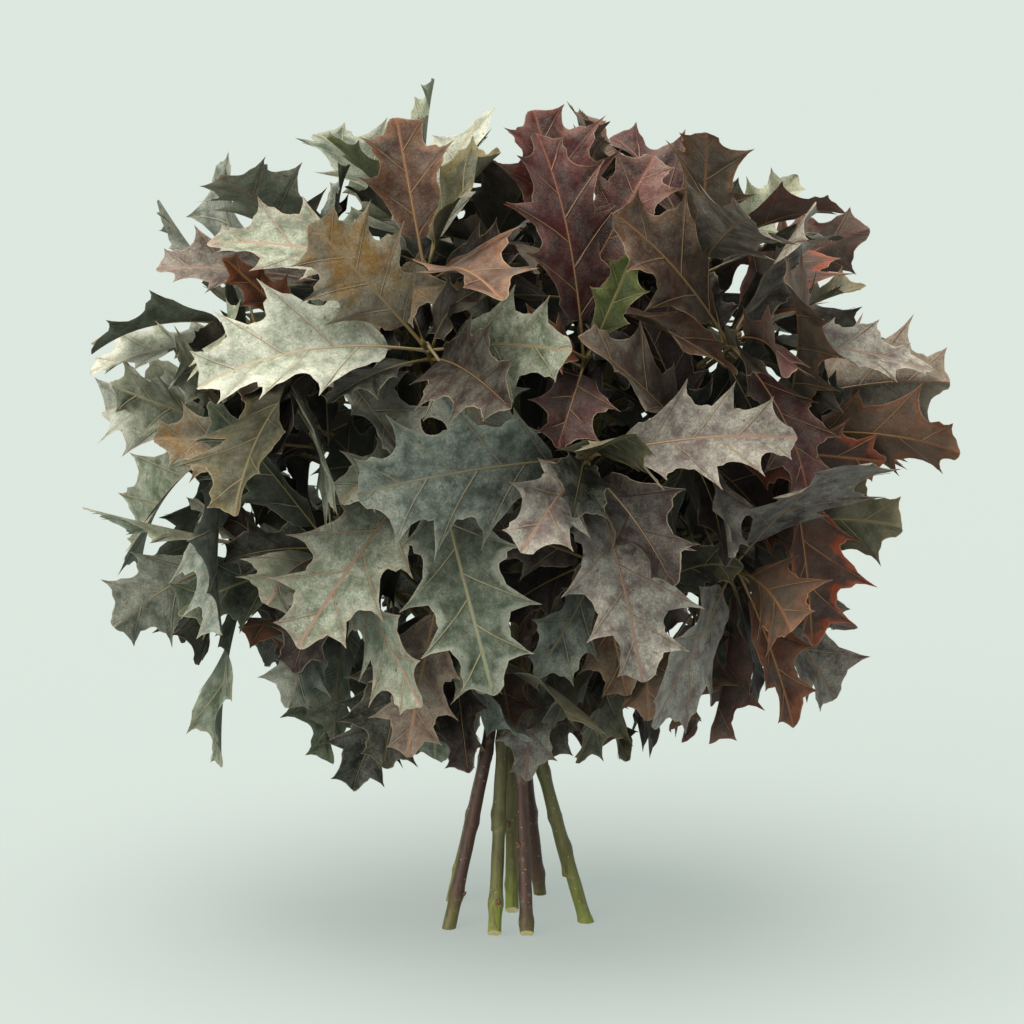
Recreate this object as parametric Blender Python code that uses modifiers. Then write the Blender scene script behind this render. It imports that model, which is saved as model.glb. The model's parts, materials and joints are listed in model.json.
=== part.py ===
"""A hand-tied bunch of autumn oak shoots, standing on its own cut ends.

Nine cut stems are bound with raffia. They splay below the tie into a ring of feet, and above it
into a round head. Side shoots spring from the stems inside the head, and each ends in a whorl of
spiny-lobed leaves. Units are metres, +Z is up and the front is towards -Y. The origin is the middle
of the centre stem's foot, on the surface that the bunch stands on.
"""

import math
import random
from collections import namedtuple

import bmesh
import bpy
import numpy as np
from mathutils import Vector
from mathutils.bvhtree import BVHTree

# Head: the rounded box that the middles of the whorls lie on.
HEAD_CENTRE = (0.0, 0.0, 0.264)
HEAD_RADII = (0.142, 0.112, 0.112)
HEAD_ROUNDNESS = 0.72  # 1 is an ellipsoid, less is squarer
UPTURN = 1.2  # how much the whorls turn up from facing straight out of the head
LOWEST_LEAF = 0.085

# Stems: one upright in the middle, and a ring of eight that is tightest at the tie.
RING_STEMS = 8
STEM_RADIUS = 0.0038
STEM_TIP_RADIUS = 0.0026
STEM_SIDES = 10
STEM_TOP = 0.318
CENTRE_TOP = 0.330
RING_RADIUS = 0.0119
TOP_RING_RADIUS = 0.062
FOOT_RING_RADIUS = 0.0424
TIE_HEIGHT = 0.118
NECK = 0.018  # height over which a stem bends at the tie
TRIM = 0.010  # cut off each standing stem, level with the floor
FLOOR_CUT_WIDTH = 0.3
FLOOR_CUT_DEPTH = 0.1
TOP_START = 21  # degrees round from the front to the first stem's top
CENTRE_SWAY = 0.0035
SWAY_RATE = 16.0  # radians of the middle stem's sway to a metre of height
BENDS = (-1.8, -1.1, -0.55, 0.0, 0.55, 1.1, 1.8)  # sections at the tie, in necks above and below it
Foot = namedtuple("Foot", "azimuth height")
FEET = (
    Foot(11, 0.0),
    Foot(72, 0.0),
    Foot(120, 0.018),
    Foot(158, 0.0),
    Foot(195, 0.040),
    Foot(232, 0.0),
    Foot(306, 0.0),
    Foot(347, 0.0),
)

# Tie: a flat band of raffia round all nine stems.
TIE_WIDTH = 0.009
TIE_THICKNESS = 0.0016
TIE_STEPS = 32
GAP = 0.0004  # clearance between pieces that touch

# Side shoots, in rows from the crown down.
SHOOT_RADIUS = 0.0017
SHOOT_SIDES = 6
SHOOT_JOINTS = 3
WHORL_STEP = 0.0042
LAUNCH = 0.010  # how far a side shoot runs straight out of its stem
LANDING = 0.35  # share of a side shoot's reach that it runs straight into its whorl
CROWN_LAUNCH = 0.006  # a crown shoot's straight start
CROWN_LANDING = 0.020  # and its straight end
CENTRE_DROP = 0.012  # highest side shoot of the middle stem, below the stem's top
CENTRE_STEP = 0.013  # between that stem's side shoots
CENTRE_SLACK = 0.005
SHOOT_RISE = 0.045  # a side shoot starts this far below its whorl, if its stem reaches
LOWEST_START = 0.028  # above the tie
HIGHEST_START = 0.020  # below the stem's top
START_STEPS = (0, -1, 1, -2, 2, -3, 3, 4, 5, 6)
START_STEP = 0.008
TIE_KEEP = 0.018  # no side shoot starts closer above the tie than this
TOP_KEEP = 0.008  # nor closer below the stem's top than this
WHORL_SPIN = 37  # degrees that each whorl is turned on from the one before
Row = namedtuple("Row", "elevation count first_azimuth leaf_length sag")
ROWS = (
    Row(77, 4, 20, 0.100, 0.10),
    Row(51, 8, 21, 0.106, 0.20),
    Row(24, 10, 18, 0.110, 0.30),
    Row(1, 11, -18, 0.114, 0.40),
    Row(-23, 10, 21, 0.110, 0.60),
    Row(-52, 6, 42, 0.104, 1.00),
)
LEFT_END = -0.045  # whorls left of this are all silver or sage, and those right of the next all red
RIGHT_START = 0.018
SEED = 200
SHOOT_LEAVES = 5  # three wide ones outside, and the rest standing up inside
STAGGER = 0.07  # alternate whorls sit this share further out or in

# Leaves.
PETIOLE_SHARE = 0.15
PETIOLE_RADIUS = 0.0009
LEAF_THICKNESS = 0.0010
BAY_DEPTH = 0.44
FORWARD = 0.50  # how far the lobes lean towards the tip, as a slope
STATIONS = 25
CLEARANCE = 0.0010
BAY_ROUNDNESS = 0.75  # exponent: 1 is a plain wave, less is a rounder bay and a sharper lobe
OVAL_BASE = 0.55  # exponents of the blade's outline at the stalk and at the tip
OVAL_TIP = 0.8
OVAL_PEAK = 0.4015  # the outline's greatest value, which scales it to 1
RIPPLES = 1.6  # waves along each edge
RIPPLE_LAG = 1.9  # radians between the two edges
PLACED_WAVE = 0.003
STALK_TAKEN = 0.8  # share of a stalk that is kept clear of other leaves
SIZES = (1.0, 0.88, 0.76, 0.64)  # a leaf shrinks, swings and lifts like this to find room
SWINGS = (0, -10, 10, -20, 20)
LIFTS = (0, -9, 9, -18, 18, -30)
SLENDER_SHOOTS = ("shoot_08", "shoot_36", "shoot_45")  # their lowest leaf is narrower than its room
SLENDER_SHARE = 0.85
Leaf = namedtuple("Leaf", "face_index turn opening length width lobes reflex sag fold twist roll wave phase")


# Leaves that are given their place: the whorl's row and number, the way from the whorl to the leaf's
# tip in millimetres, and the leaf's shape (width as a share of the length, angles in degrees).
Placed = namedtuple("Placed", "row place aim width lobes roll reflex sag fold twist")
PLACED = (
    Placed(3, 0, (-70, -50, -82), 0.29, 4, 6, 14, 0.1, 12, 8),
    Placed(3, 0, (35, -55, -110), 0.26, 4, -8, 18, 0.1, 16, -14),
    Placed(2, 9, (65, -60, 15), 0.31, 3, 10, 12, 0.2, 8, 10),
    Placed(2, 9, (38, -58, -42), 0.34, 3, 0, 46, 0.2, 10, -6),
    Placed(2, 8, (55, -82, -42), 0.27, 4, -26, 30, 0.2, 44, -20),
    Placed(2, 9, (-50, -34, 62), 0.36, 4, -12, 10, 0.1, 14, 12),
    Placed(2, 0, (-10, -56, -22), 0.40, 3, 0, 36, 0.2, 30, 0),
    Placed(3, 2, (-40, -60, 65), 0.27, 3, 14, 20, 0.0, 24, 16),
    Placed(3, 1, (100, -22, 25), 0.28, 4, -18, 24, 0.2, 10, -20),
    Placed(3, 2, (102, 16, -8), 0.24, 4, 16, 16, 0.1, 18, 22),
    Placed(2, 2, (104, 0, 0), 0.25, 4, 20, 10, 0.2, 12, 10),
    Placed(2, 7, (-90, -4, -10), 0.27, 4, -14, 12, 0.1, 16, -18),
    Placed(4, 7, (-92, -15, 22), 0.26, 4, 10, 14, 0.2, 12, 12),
    Placed(1, 6, (-96, -6, 22), 0.26, 4, -12, 14, 0.1, 20, -16),
    Placed(1, 6, (-62, 20, 62), 0.24, 3, 10, 12, 0.0, 20, 10),
    Placed(1, 0, (-18, -8, 92), 0.40, 4, -6, 12, 0.0, 14, 8),
    Placed(1, 0, (40, 16, 74), 0.33, 4, 8, 16, 0.0, 16, -10),
    Placed(0, 3, (-42, -16, 56), 0.36, 3, 0, 14, 0.0, 18, 6),
    Placed(1, 7, (-14, 6, 76), 0.34, 3, 6, 16, 0.0, 24, 10),
    Placed(1, 1, (52, 12, 50), 0.24, 4, 18, 12, 0.0, 14, 12),
    Placed(0, 1, (54, -12, 34), 0.34, 3, -8, 12, 0.0, 20, -12),
    Placed(2, 2, (52, 2, 58), 0.28, 4, 12, 16, 0.0, 20, 10),
    Placed(4, 0, (-52, -40, 28), 0.30, 3, 16, 24, 0.2, 16, 10),
    Placed(3, 2, (-34, -50, -62), 0.26, 3, -14, 18, 0.2, 20, -10),
    Placed(4, 0, (16, -26, -62), 0.36, 3, 8, 20, 0.1, 34, 12),
    Placed(4, 0, (-32, -42, -46), 0.34, 3, 0, 26, 0.1, 18, 0),
    Placed(5, 0, (-20, -25, -74), 0.33, 4, -8, 16, 0.1, 20, 12),
    Placed(4, 9, (-20, -20, -84), 0.27, 4, 10, 12, 0.1, 16, -10),
    Placed(5, 4, (-25, -35, -70), 0.36, 4, 0, 16, 0.1, 16, 6),
    Placed(4, 8, (-86, 12, -28), 0.29, 3, 12, 20, 0.2, 24, 14),
    Placed(5, 4, (-52, -18, -30), 0.32, 3, -10, 24, 0.1, 26, -12),
    Placed(5, 1, (60, -20, 0), 0.28, 3, 10, 20, 0.1, 18, 16),
    Placed(5, 5, (38, -12, -48), 0.28, 3, 8, 18, 0.1, 20, 10),
    Placed(5, 0, (-46, -28, -62), 0.34, 3, -6, 18, 0.1, 18, -8),
    Placed(3, 10, (-86, 4, 6), 0.26, 4, -12, 16, 0.1, 22, 10),
    Placed(2, 0, (24, -12, 56), 0.22, 3, 8, 14, 0.0, 16, 6),
    Placed(2, 0, (76, -16, 44), 0.34, 3, -14, 14, 0.0, 18, 10),
    Placed(2, 8, (-46, -18, 50), 0.22, 4, 40, 12, 0.0, 30, -20),
)


def unit(v):
    return v / np.linalg.norm(v)


def around(azimuth):
    """Level unit vector; azimuth 0 is the front, and a quarter turn is +X."""
    return np.array((math.sin(azimuth), -math.cos(azimuth), 0.0))


# ---- Stems ----


def stem_point(stem, height):
    """Centre of a stem at a height. Stem 0 is the middle one; the others bend smoothly at the tie."""
    if stem == 0:
        sway = CENTRE_SWAY * math.sin(max(0.0, height - TIE_HEIGHT) * SWAY_RATE)
        return np.array((sway, 0.0, height))
    turn = math.radians(TOP_START) + (stem - 1) * math.tau / RING_STEMS
    neck = RING_RADIUS * around(turn)
    if height < TIE_HEIGHT:
        end = FOOT_RING_RADIUS * around(math.radians(FEET[stem - 1].azimuth))
        rise, full = TIE_HEIGHT - height, TIE_HEIGHT
    else:
        end = TOP_RING_RADIUS * around(turn)
        rise, full = height - TIE_HEIGHT, STEM_TOP - TIE_HEIGHT
    share = (math.hypot(NECK, rise) - NECK) / (math.hypot(NECK, full) - NECK)
    return neck + (end - neck) * share + np.array((0, 0, height))


def stem_radius(height):
    share = min(1.0, max(0.0, height / STEM_TOP))
    return STEM_RADIUS + (STEM_TIP_RADIUS - STEM_RADIUS) * share


def stem_top(stem):
    return CENTRE_TOP if stem == 0 else STEM_TOP


# ---- Side shoots ----

Shoot = namedtuple("Shoot", "name row place stem path facing side length sag")


def whorl_place(row, index):
    """Middle of a whorl and the way it faces, out of the head."""
    azimuth = math.radians(row.first_azimuth) + index * math.tau / row.count
    elevation = math.radians(row.elevation)
    level = math.cos(elevation) * around(azimuth)
    out = np.array((level[0], level[1], math.sin(elevation)))
    stagger = 1 + (STAGGER if index % 2 else -STAGGER)
    square = around(azimuth) * math.cos(elevation) ** HEAD_ROUNDNESS
    square[2] = math.copysign(abs(math.sin(elevation)) ** HEAD_ROUNDNESS, elevation)
    place = np.array(HEAD_CENTRE) + square * HEAD_RADII * stagger
    facing = unit(out / np.array(HEAD_RADII) + np.array((0, 0, UPTURN)))
    return place, facing


def nearest_stems(place, height):
    """The two ring stems nearest to a place, seen from above."""
    ring = range(1, RING_STEMS + 1)
    return sorted(ring, key=lambda stem: np.linalg.norm((stem_point(stem, height) - place)[:2]))[:2]


def whorl_spine(place, facing):
    """The straight end of a shoot, where its two tiers of leaves spring."""
    return [place - facing * WHORL_STEP * tier for tier in (2, 1, 0)]


def side_path(stem, height, place, facing):
    """A side shoot's centre line: square out of its stem, then curving to face the whorl's way."""
    spot = stem_point(stem, height)
    along = unit(stem_point(stem, height + 0.002) - spot)
    out = place - spot
    out[2] = 0
    out = unit(out - along * np.dot(out, along))
    start = spot + out * (stem_radius(height) + GAP)
    root = start + out * SHOOT_RADIUS * 2
    spine = whorl_spine(place, facing)
    reach = np.linalg.norm(spine[0] - root)
    handles = (root, root + out * LAUNCH, spine[0] - facing * reach * LANDING, spine[0])
    path = [start]
    for joint in range(SHOOT_JOINTS):
        s = joint / SHOOT_JOINTS
        weights = ((1 - s) ** 3, 3 * s * (1 - s) ** 2, 3 * s * s * (1 - s), s**3)
        path.append(sum(w * h for w, h in zip(weights, handles)))
    return path + spine


def crown_path(stem, place, facing):
    """A short shoot that carries on from the top of a stem."""
    top = stem_point(stem, stem_top(stem))
    along = unit(top - stem_point(stem, stem_top(stem) - 0.002))
    start = top + along * GAP
    bend = place - facing * CROWN_LANDING
    return [start, start + along * CROWN_LAUNCH, bend, *whorl_spine(place, facing)]


def candidate_paths(row_index, index, place, facing):
    """The ways that a side shoot may reach its whorl, the likeliest first, each with its stem."""
    if row_index == 1:
        return [(1 + index, crown_path(1 + index, place, facing))]
    if row_index == 0:
        highest = CENTRE_TOP - CENTRE_DROP - CENTRE_STEP * index
        heights = [highest - CENTRE_SLACK * extra for extra in range(4)]
        return [(0, side_path(0, height, place, facing)) for height in heights]
    wanted = min(place[2] - SHOOT_RISE, STEM_TOP - HIGHEST_START)
    wanted = max(wanted, TIE_HEIGHT + LOWEST_START)
    heights = [wanted + START_STEP * step for step in START_STEPS]
    heights = [height for height in heights if TIE_HEIGHT + TIE_KEEP < height < STEM_TOP - TOP_KEEP]
    stems = nearest_stems(place, wanted)
    return [(stem, side_path(stem, height, place, facing)) for height in heights for stem in stems]


# ---- Leaves ----


def placed_leaf(shoot, placed):
    """A leaf that points where it is told to."""
    aim = np.array(placed.aim) / 1000
    length = np.linalg.norm(aim)
    across = np.cross(shoot.facing, shoot.side)
    turn = math.atan2(np.dot(aim, across), np.dot(aim, shoot.side)) % math.tau
    return Leaf(
        face_index=round(turn / math.radians(60)) % SHOOT_SIDES,
        turn=turn,
        opening=math.acos(np.dot(aim, shoot.facing) / length),
        length=length,
        width=length * placed.width,
        lobes=placed.lobes,
        reflex=math.radians(placed.reflex),
        sag=placed.sag,
        fold=math.radians(placed.fold),
        twist=math.radians(placed.twist),
        roll=math.radians(placed.roll),
        wave=PLACED_WAVE,
        phase=turn,
    )


def grown_leaf(shoot, face, draw):
    """A leaf that grows as chance has it: wide and open on an even face, upright on an odd one."""
    outer = face % 2 == 0
    length = shoot.length * (draw.uniform(0.90, 1.12) if outer else draw.uniform(0.66, 0.90))
    return Leaf(
        face_index=face,
        turn=math.radians(60 * face + draw.uniform(-14, 14)),
        opening=math.radians(draw.uniform(62, 86) if outer else draw.uniform(24, 50)),
        length=length,
        width=length * draw.uniform(0.26, 0.33),
        lobes=4 if length > 0.112 else 3,
        reflex=math.radians(draw.uniform(4, 40)),
        sag=shoot.sag * draw.uniform(0.6, 1.4),
        fold=math.radians(draw.uniform(6, 30)),
        twist=math.radians(draw.uniform(-32, 32)),
        roll=math.radians(draw.uniform(-22, 22)),
        wave=draw.uniform(0.002, 0.006),
        phase=draw.uniform(0, math.tau),
    )


def whorl_leaves(shoot):
    """The leaves of a whorl: the placed ones, and chance ones on the faces that are left."""
    draw = random.Random(f"{SEED}, {shoot.name}")
    leaves = []
    for placed in PLACED:
        if (placed.row, placed.place) == (shoot.row, shoot.place):
            leaf = placed_leaf(shoot, placed)
            taken = {other.face_index for other in leaves}
            while leaf.face_index in taken:
                leaf = leaf._replace(face_index=(leaf.face_index + 1) % SHOOT_SIDES)
            leaves.append(leaf)
    placed_count = len(leaves)
    taken = {leaf.face_index for leaf in leaves}
    for face in (0, 2, 4, 1, 3, 5)[:SHOOT_LEAVES]:
        if face not in taken:
            leaves.append(grown_leaf(shoot, face, draw))
    return placed_count, leaves


def settlings(leaf):
    """Ways for a leaf to settle between its neighbours, the most natural first."""
    for size in SIZES:
        for swing in SWINGS:
            for lift in LIFTS:
                yield leaf._replace(
                    length=leaf.length * size,
                    width=leaf.width * size,
                    turn=leaf.turn + math.radians(swing),
                    opening=leaf.opening + math.radians(lift),
                )


def whorl_side(shoot, angle):
    """Unit vector square to the whorl's axis, at an angle about it."""
    across = np.cross(shoot.facing, shoot.side)
    return shoot.side * math.cos(angle) + across * math.sin(angle)


def leaf_root(shoot, leaf):
    """Where the leaf's stalk leaves the shoot: the middle of its face in the lower or upper tier."""
    tier = 1.5 if leaf.face_index % 2 == 0 else 0.5
    apothem = SHOOT_RADIUS * math.cos(math.pi / SHOOT_SIDES)
    middle = math.radians(60 * leaf.face_index)
    return shoot.path[-1] - shoot.facing * WHORL_STEP * tier + whorl_side(shoot, middle) * apothem


def leaf_frames(shoot, leaf):
    """Points, tangents, normals and sides at even steps down the leaf's midline, stalk included."""
    level = whorl_side(shoot, leaf.turn)
    out = shoot.facing * math.cos(leaf.opening) + level * math.sin(leaf.opening)
    face = unit(shoot.facing - out * np.dot(shoot.facing, out))
    flank = np.cross(out, face)
    face = face * math.cos(leaf.roll) + flank * math.sin(leaf.roll)
    share = np.linspace(0, 1, STATIONS)[:, None]
    bend = leaf.reflex * share**1.4
    tangent = np.cos(bend) * out - np.sin(bend) * face
    tangent = tangent + np.array((0, 0, -leaf.sag)) * share**1.5
    tangent /= np.linalg.norm(tangent, axis=1, keepdims=True)
    normal = np.cos(bend) * face + np.sin(bend) * out
    normal -= tangent * (normal * tangent).sum(axis=1, keepdims=True)
    normal /= np.linalg.norm(normal, axis=1, keepdims=True)
    side = np.cross(tangent, normal)
    spin = leaf.twist * share
    normal, side = normal * np.cos(spin) + side * np.sin(spin), side * np.cos(spin) - normal * np.sin(spin)
    steps = (tangent[1:] + tangent[:-1]) / 2 * leaf.length / (STATIONS - 1)
    points = leaf_root(shoot, leaf) + np.vstack((np.zeros(3), np.cumsum(steps, axis=0)))
    return points, normal, side


def half_width(leaf, along, right):
    """Half the blade's width: a pointed oval with sharp lobes and round bays, left and right in turn."""
    bay = np.abs(np.sin(math.pi * (along * leaf.lobes + 0.5 * right))) ** BAY_ROUNDNESS
    oval = along**OVAL_BASE * (1 - along) ** OVAL_TIP / OVAL_PEAK
    return leaf.width * oval * (1 - BAY_DEPTH * bay) + PETIOLE_RADIUS * (1 - along)


def blade_points(leaf, frames, along, across, lift=0.0):
    """Points of the blade. Along runs from 0 at the stalk to 1 at the tip, across from -1 to 1."""
    along, across = np.broadcast_arrays(np.asarray(along, float), np.asarray(across, float))
    right = across > 0
    reach = np.abs(across) * half_width(leaf, along, right)
    blade = leaf.length * (1 - PETIOLE_SHARE)
    ahead = np.minimum(1.0, along + FORWARD * reach / blade)
    station = (PETIOLE_SHARE + (1 - PETIOLE_SHARE) * ahead) * (STATIONS - 1)
    low = np.minimum(station.astype(int), STATIONS - 2)
    part = (station - low)[..., None]
    point, normal, side = (rows[low] * (1 - part) + rows[low + 1] * part for rows in frames)
    ripple = np.sin(math.tau * RIPPLES * along + leaf.phase + RIPPLE_LAG * right)
    rise = reach * math.sin(leaf.fold) + leaf.wave * across**2 * ripple * np.sin(math.pi * along)
    sideways = np.sign(across) * reach * math.cos(leaf.fold)
    return point + side * sideways[..., None] + normal * (rise + lift)[..., None]


def leaf_rings(leaf, frames):
    """Four-cornered sections from the stalk to just before the tip, then the tip."""
    points, normal, side = frames
    r = PETIOLE_RADIUS
    stalk_end = round(PETIOLE_SHARE * (STATIONS - 1))
    p, n, b = points[stalk_end], normal[stalk_end], side[stalk_end]
    rings = [np.array((p - b * r, p + n * r, p + b * r, p - n * r))]
    along = np.arange(1, 2 * leaf.lobes)[:, None] / (2 * leaf.lobes)
    half = LEAF_THICKNESS / 2 * (1.25 - along)
    corners = blade_points(leaf, frames, along, (-1.0, 0.0, 1.0, 0.0), half * (0, 1, 0, -1))
    return rings + list(corners), blade_points(leaf, frames, 1.0, 0.0)


# ---- Settling the leaves among each other ----


class Crowd:
    """Everything placed so far, and whether a new surface would cut through it."""

    def __init__(self):
        self.trees = []

    @staticmethod
    def box(points):
        spots = np.array(points)
        return spots.min(axis=0), spots.max(axis=0)

    def clear(self, points, faces):
        low, high = self.box(points)
        if low[2] < LOWEST_LEAF:
            return False
        tree = None
        for other_low, other_high, other in self.trees:
            if (low > other_high).any() or (high < other_low).any():
                continue
            tree = tree or BVHTree.FromPolygons(points, faces)
            if tree.overlap(other):
                return False
        return True

    def add(self, points, faces):
        low, high = self.box(points)
        self.trees.append((low, high, BVHTree.FromPolygons(points, faces)))


def tube_surface(path, radii, sides):
    """Points and faces of a plain tube, as an obstacle."""
    points = []
    faces = []
    for index, (spot, radius) in enumerate(zip(path, radii)):
        along = unit(path[min(index + 1, len(path) - 1)] - path[max(index - 1, 0)])
        across = unit(np.cross(along, (0.3, 0.9, 0.1)))
        for corner in range(sides):
            angle = corner * math.tau / sides
            arm = across * math.cos(angle) + np.cross(along, across) * math.sin(angle)
            points.append(Vector(spot + arm * radius))
        if index:
            base = (index - 1) * sides
            for corner in range(sides):
                after = (corner + 1) % sides
                faces.append((base + corner, base + after, base + sides + after, base + sides + corner))
    return points, faces


def leaf_surface(shoot, leaf, frames):
    """The blade as the room it needs: its solid's faces, and a sheet above and below it."""
    rings, tip = leaf_rings(leaf, frames)
    stalk_start = rings[0] + (leaf_root(shoot, leaf) - rings[0].mean(axis=0)) * STALK_TAKEN
    points = [*stalk_start, *np.concatenate(rings), tip]
    faces = []
    for base in range(0, len(points) - 5, 4):
        for corner in range(4):
            after = (corner + 1) % 4
            faces.append((base + corner, base + after, base + 4 + after, base + 4 + corner))
    last = len(points) - 5
    faces += [(last + corner, last + (corner + 1) % 4, last + 4) for corner in range(4)]
    rows = 4 * leaf.lobes
    along = np.arange(1, rows)[:, None] / rows
    columns = np.linspace(-1, 1, 5)
    for lift in (CLEARANCE, -CLEARANCE):
        base = len(points)
        points += [*blade_points(leaf, frames, along, columns, lift).reshape(-1, 3)]
        for row in range(rows - 2):
            for column in range(len(columns) - 1):
                first = base + row * len(columns) + column
                faces.append((first, first + 1, first + 1 + len(columns), first + len(columns)))
    return [Vector(point) for point in points], faces


def plan_shoots(crowd):
    """Lays out every side shoot, clear of the stems and of each other."""
    shoots = []
    for row_index, row in enumerate(ROWS):
        for index in range(row.count):
            place, facing = whorl_place(row, index)
            ways = candidate_paths(row_index, index, place, facing)
            for stem, path in ways:
                surface = tube_surface(path, [SHOOT_RADIUS + GAP] * len(path), SHOOT_SIDES)
                if crowd.clear(*surface):
                    break
            else:
                raise RuntimeError(f"no clear way for the shoot of row {row_index}, place {index}")
            crowd.add(*surface)
            down = unit(facing * facing[2] - np.array((0, 0, 1.0)))
            spin = math.radians(WHORL_SPIN * len(shoots))
            side = down * math.cos(spin) + np.cross(facing, down) * math.sin(spin)
            name = f"shoot_{len(shoots) + 1:02d}"
            shoots.append(
                Shoot(name, row_index, index, stem, path, facing, side, row.leaf_length, row.sag)
            )
    return shoots


def settle_leaves(shoots, crowd):
    """Gives every shoot its leaves, placed ones first, each in the first settling that is clear."""
    settled = {shoot.name: [] for shoot in shoots}
    queue = []
    for order, shoot in enumerate(shoots):
        placed_count, leaves = whorl_leaves(shoot)
        for rank, leaf in enumerate(leaves):
            queue.append((rank >= placed_count, rank, order, shoot, leaf))
    for *_, shoot, planned in sorted(queue, key=lambda entry: entry[:3]):
        for leaf in settlings(planned):
            frames = leaf_frames(shoot, leaf)
            surface = leaf_surface(shoot, leaf, frames)
            if crowd.clear(*surface):
                crowd.add(*surface)
                if shoot.name in SLENDER_SHOOTS and leaf.face_index == 0:
                    leaf = leaf._replace(width=leaf.width * SLENDER_SHARE)
                settled[shoot.name].append((leaf, frames))
                break
    return settled


# ---- Solids ----


def material(name, colour, roughness):
    made = bpy.data.materials.new(name)
    made.use_nodes = True
    shader = made.node_tree.nodes["Principled BSDF"]
    shader.inputs["Base Color"].default_value = (*colour, 1.0)
    shader.inputs["Roughness"].default_value = roughness
    return made


def linked(name, mesh, collection, made):
    thing = bpy.data.objects.new(name, mesh)
    collection.objects.link(thing)
    mesh.materials.clear()
    mesh.materials.append(made)
    return thing


def tube_mesh(name, points, radii, sides):
    """A closed tube through the points, from a bevelled curve with filled caps."""
    curve = bpy.data.curves.new(name, "CURVE")
    curve.dimensions = "3D"
    curve.bevel_depth = 1.0
    curve.bevel_resolution = (sides - 4) // 2
    curve.use_fill_caps = True
    spline = curve.splines.new("POLY")
    spline.points.add(len(points) - 1)
    for spot, place, radius in zip(spline.points, points, radii):
        spot.co = (*place, 1.0)
        spot.radius = radius
    guide = bpy.data.objects.new(name, curve)
    bpy.context.scene.collection.objects.link(guide)
    bpy.context.view_layer.update()
    mesh = bpy.data.meshes.new_from_object(guide.evaluated_get(bpy.context.evaluated_depsgraph_get()))
    bpy.data.objects.remove(guide)
    solid = bmesh.new()
    solid.from_mesh(mesh)
    bmesh.ops.remove_doubles(solid, verts=solid.verts, dist=1e-6)
    bmesh.ops.recalc_face_normals(solid, faces=solid.faces)
    solid.to_mesh(mesh)
    solid.free()
    return mesh


def stem_heights(stem, low):
    """Heights of a stem's sections: close together at the tie, where it bends."""
    bend = [TIE_HEIGHT + NECK * step for step in BENDS]
    return [low, (low + bend[0]) / 2, *bend, (bend[-1] + stem_top(stem)) / 2, stem_top(stem)]


def add_stem(stem, collection, cutters, made):
    """A tapering stem. One that reaches the floor is cut level with it, the others square."""
    foot = FEET[stem - 1].height if stem else 0.0
    stands = foot == 0.0
    heights = stem_heights(stem, -TRIM if stands else foot)
    points = [stem_point(stem, height) for height in heights]
    mesh = tube_mesh(f"stem_{stem + 1}", points, [stem_radius(h) for h in heights], STEM_SIDES)
    thing = linked(f"stem_{stem + 1}", mesh, collection, made)
    if stands:
        trim = thing.modifiers.new("level_cut", "BOOLEAN")
        trim.operation = "DIFFERENCE"
        trim.object = cutters["floor"]
    mesh.shade_smooth()
    mesh.set_sharp_from_angle(angle=math.radians(45))
    return thing


def add_floor_cutter(collection):
    """A slab whose top is the surface that the bunch stands on."""
    bpy.ops.mesh.primitive_cube_add(size=1, location=(0, 0, -FLOOR_CUT_DEPTH / 2))
    slab = bpy.context.active_object
    slab.name = "floor_cutter"
    slab.scale = (FLOOR_CUT_WIDTH, FLOOR_CUT_WIDTH, FLOOR_CUT_DEPTH)
    slab.hide_render = True
    slab.display_type = "WIRE"
    for holder in list(slab.users_collection):
        holder.objects.unlink(slab)
    collection.objects.link(slab)
    return slab


def add_tie(collection, made):
    """A flat band round the ring of stems: a closed profile turned about the bunch's axis."""
    spread = math.hypot(NECK, TIE_WIDTH / 2) - NECK  # the stems lean out by less than this
    inner = RING_RADIUS + STEM_RADIUS + spread + GAP
    outer = inner + TIE_THICKNESS
    half = TIE_WIDTH / 2
    corners = [(outer, half), (outer, -half), (inner, -half), (inner, half), (outer, half)]
    mesh = bpy.data.meshes.new("raffia_tie")
    mesh.from_pydata([(x, 0, z + TIE_HEIGHT) for x, z in corners], [(i, i + 1) for i in range(4)], [])
    thing = linked("raffia_tie", mesh, collection, made)
    turn = thing.modifiers.new("turn", "SCREW")
    turn.steps = turn.render_steps = TIE_STEPS
    turn.use_merge_vertices = True
    turn.merge_threshold = 1e-5
    weld = thing.modifiers.new("close", "WELD")
    weld.merge_threshold = 1e-5
    return thing


def bridge(solid, ring, onward):
    """Triangles between two four-cornered sections of a leaf: margin, upper ridge, margin, lower ridge.

    Both sides of a half blade are split along the same diagonal, so that they never cross.
    """
    for margin, ridges in ((0, (1, 3)), (2, (1, 3))):
        forward = (ring[margin].co - onward[1].co).length < (ring[1].co - onward[margin].co).length
        for ridge in ridges:
            near, far = (ring[margin], ring[ridge]), (onward[margin], onward[ridge])
            if forward:
                solid.faces.new((near[0], near[1], far[1]))
                solid.faces.new((near[0], far[1], far[0]))
            else:
                solid.faces.new((near[0], near[1], far[0]))
                solid.faces.new((near[1], far[1], far[0]))


def grow_leaf(solid, hole, rings, tip):
    """Lofts a stalk and a blade out of a four-cornered hole in the shoot."""
    turned = [[hole[(i + turn) % 4] for i in range(4)] for turn in range(4)]
    first = [Vector(spot) for spot in rings[0]]
    ring = min(turned, key=lambda ring: sum((v.co - spot).length for v, spot in zip(ring, first)))
    for spots in rings:
        onward = [solid.verts.new(spot) for spot in spots]
        bridge(solid, ring, onward)
        ring = onward
    end = solid.verts.new(tip)
    for i in range(4):
        solid.faces.new((ring[i], ring[(i + 1) % 4], end))


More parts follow.
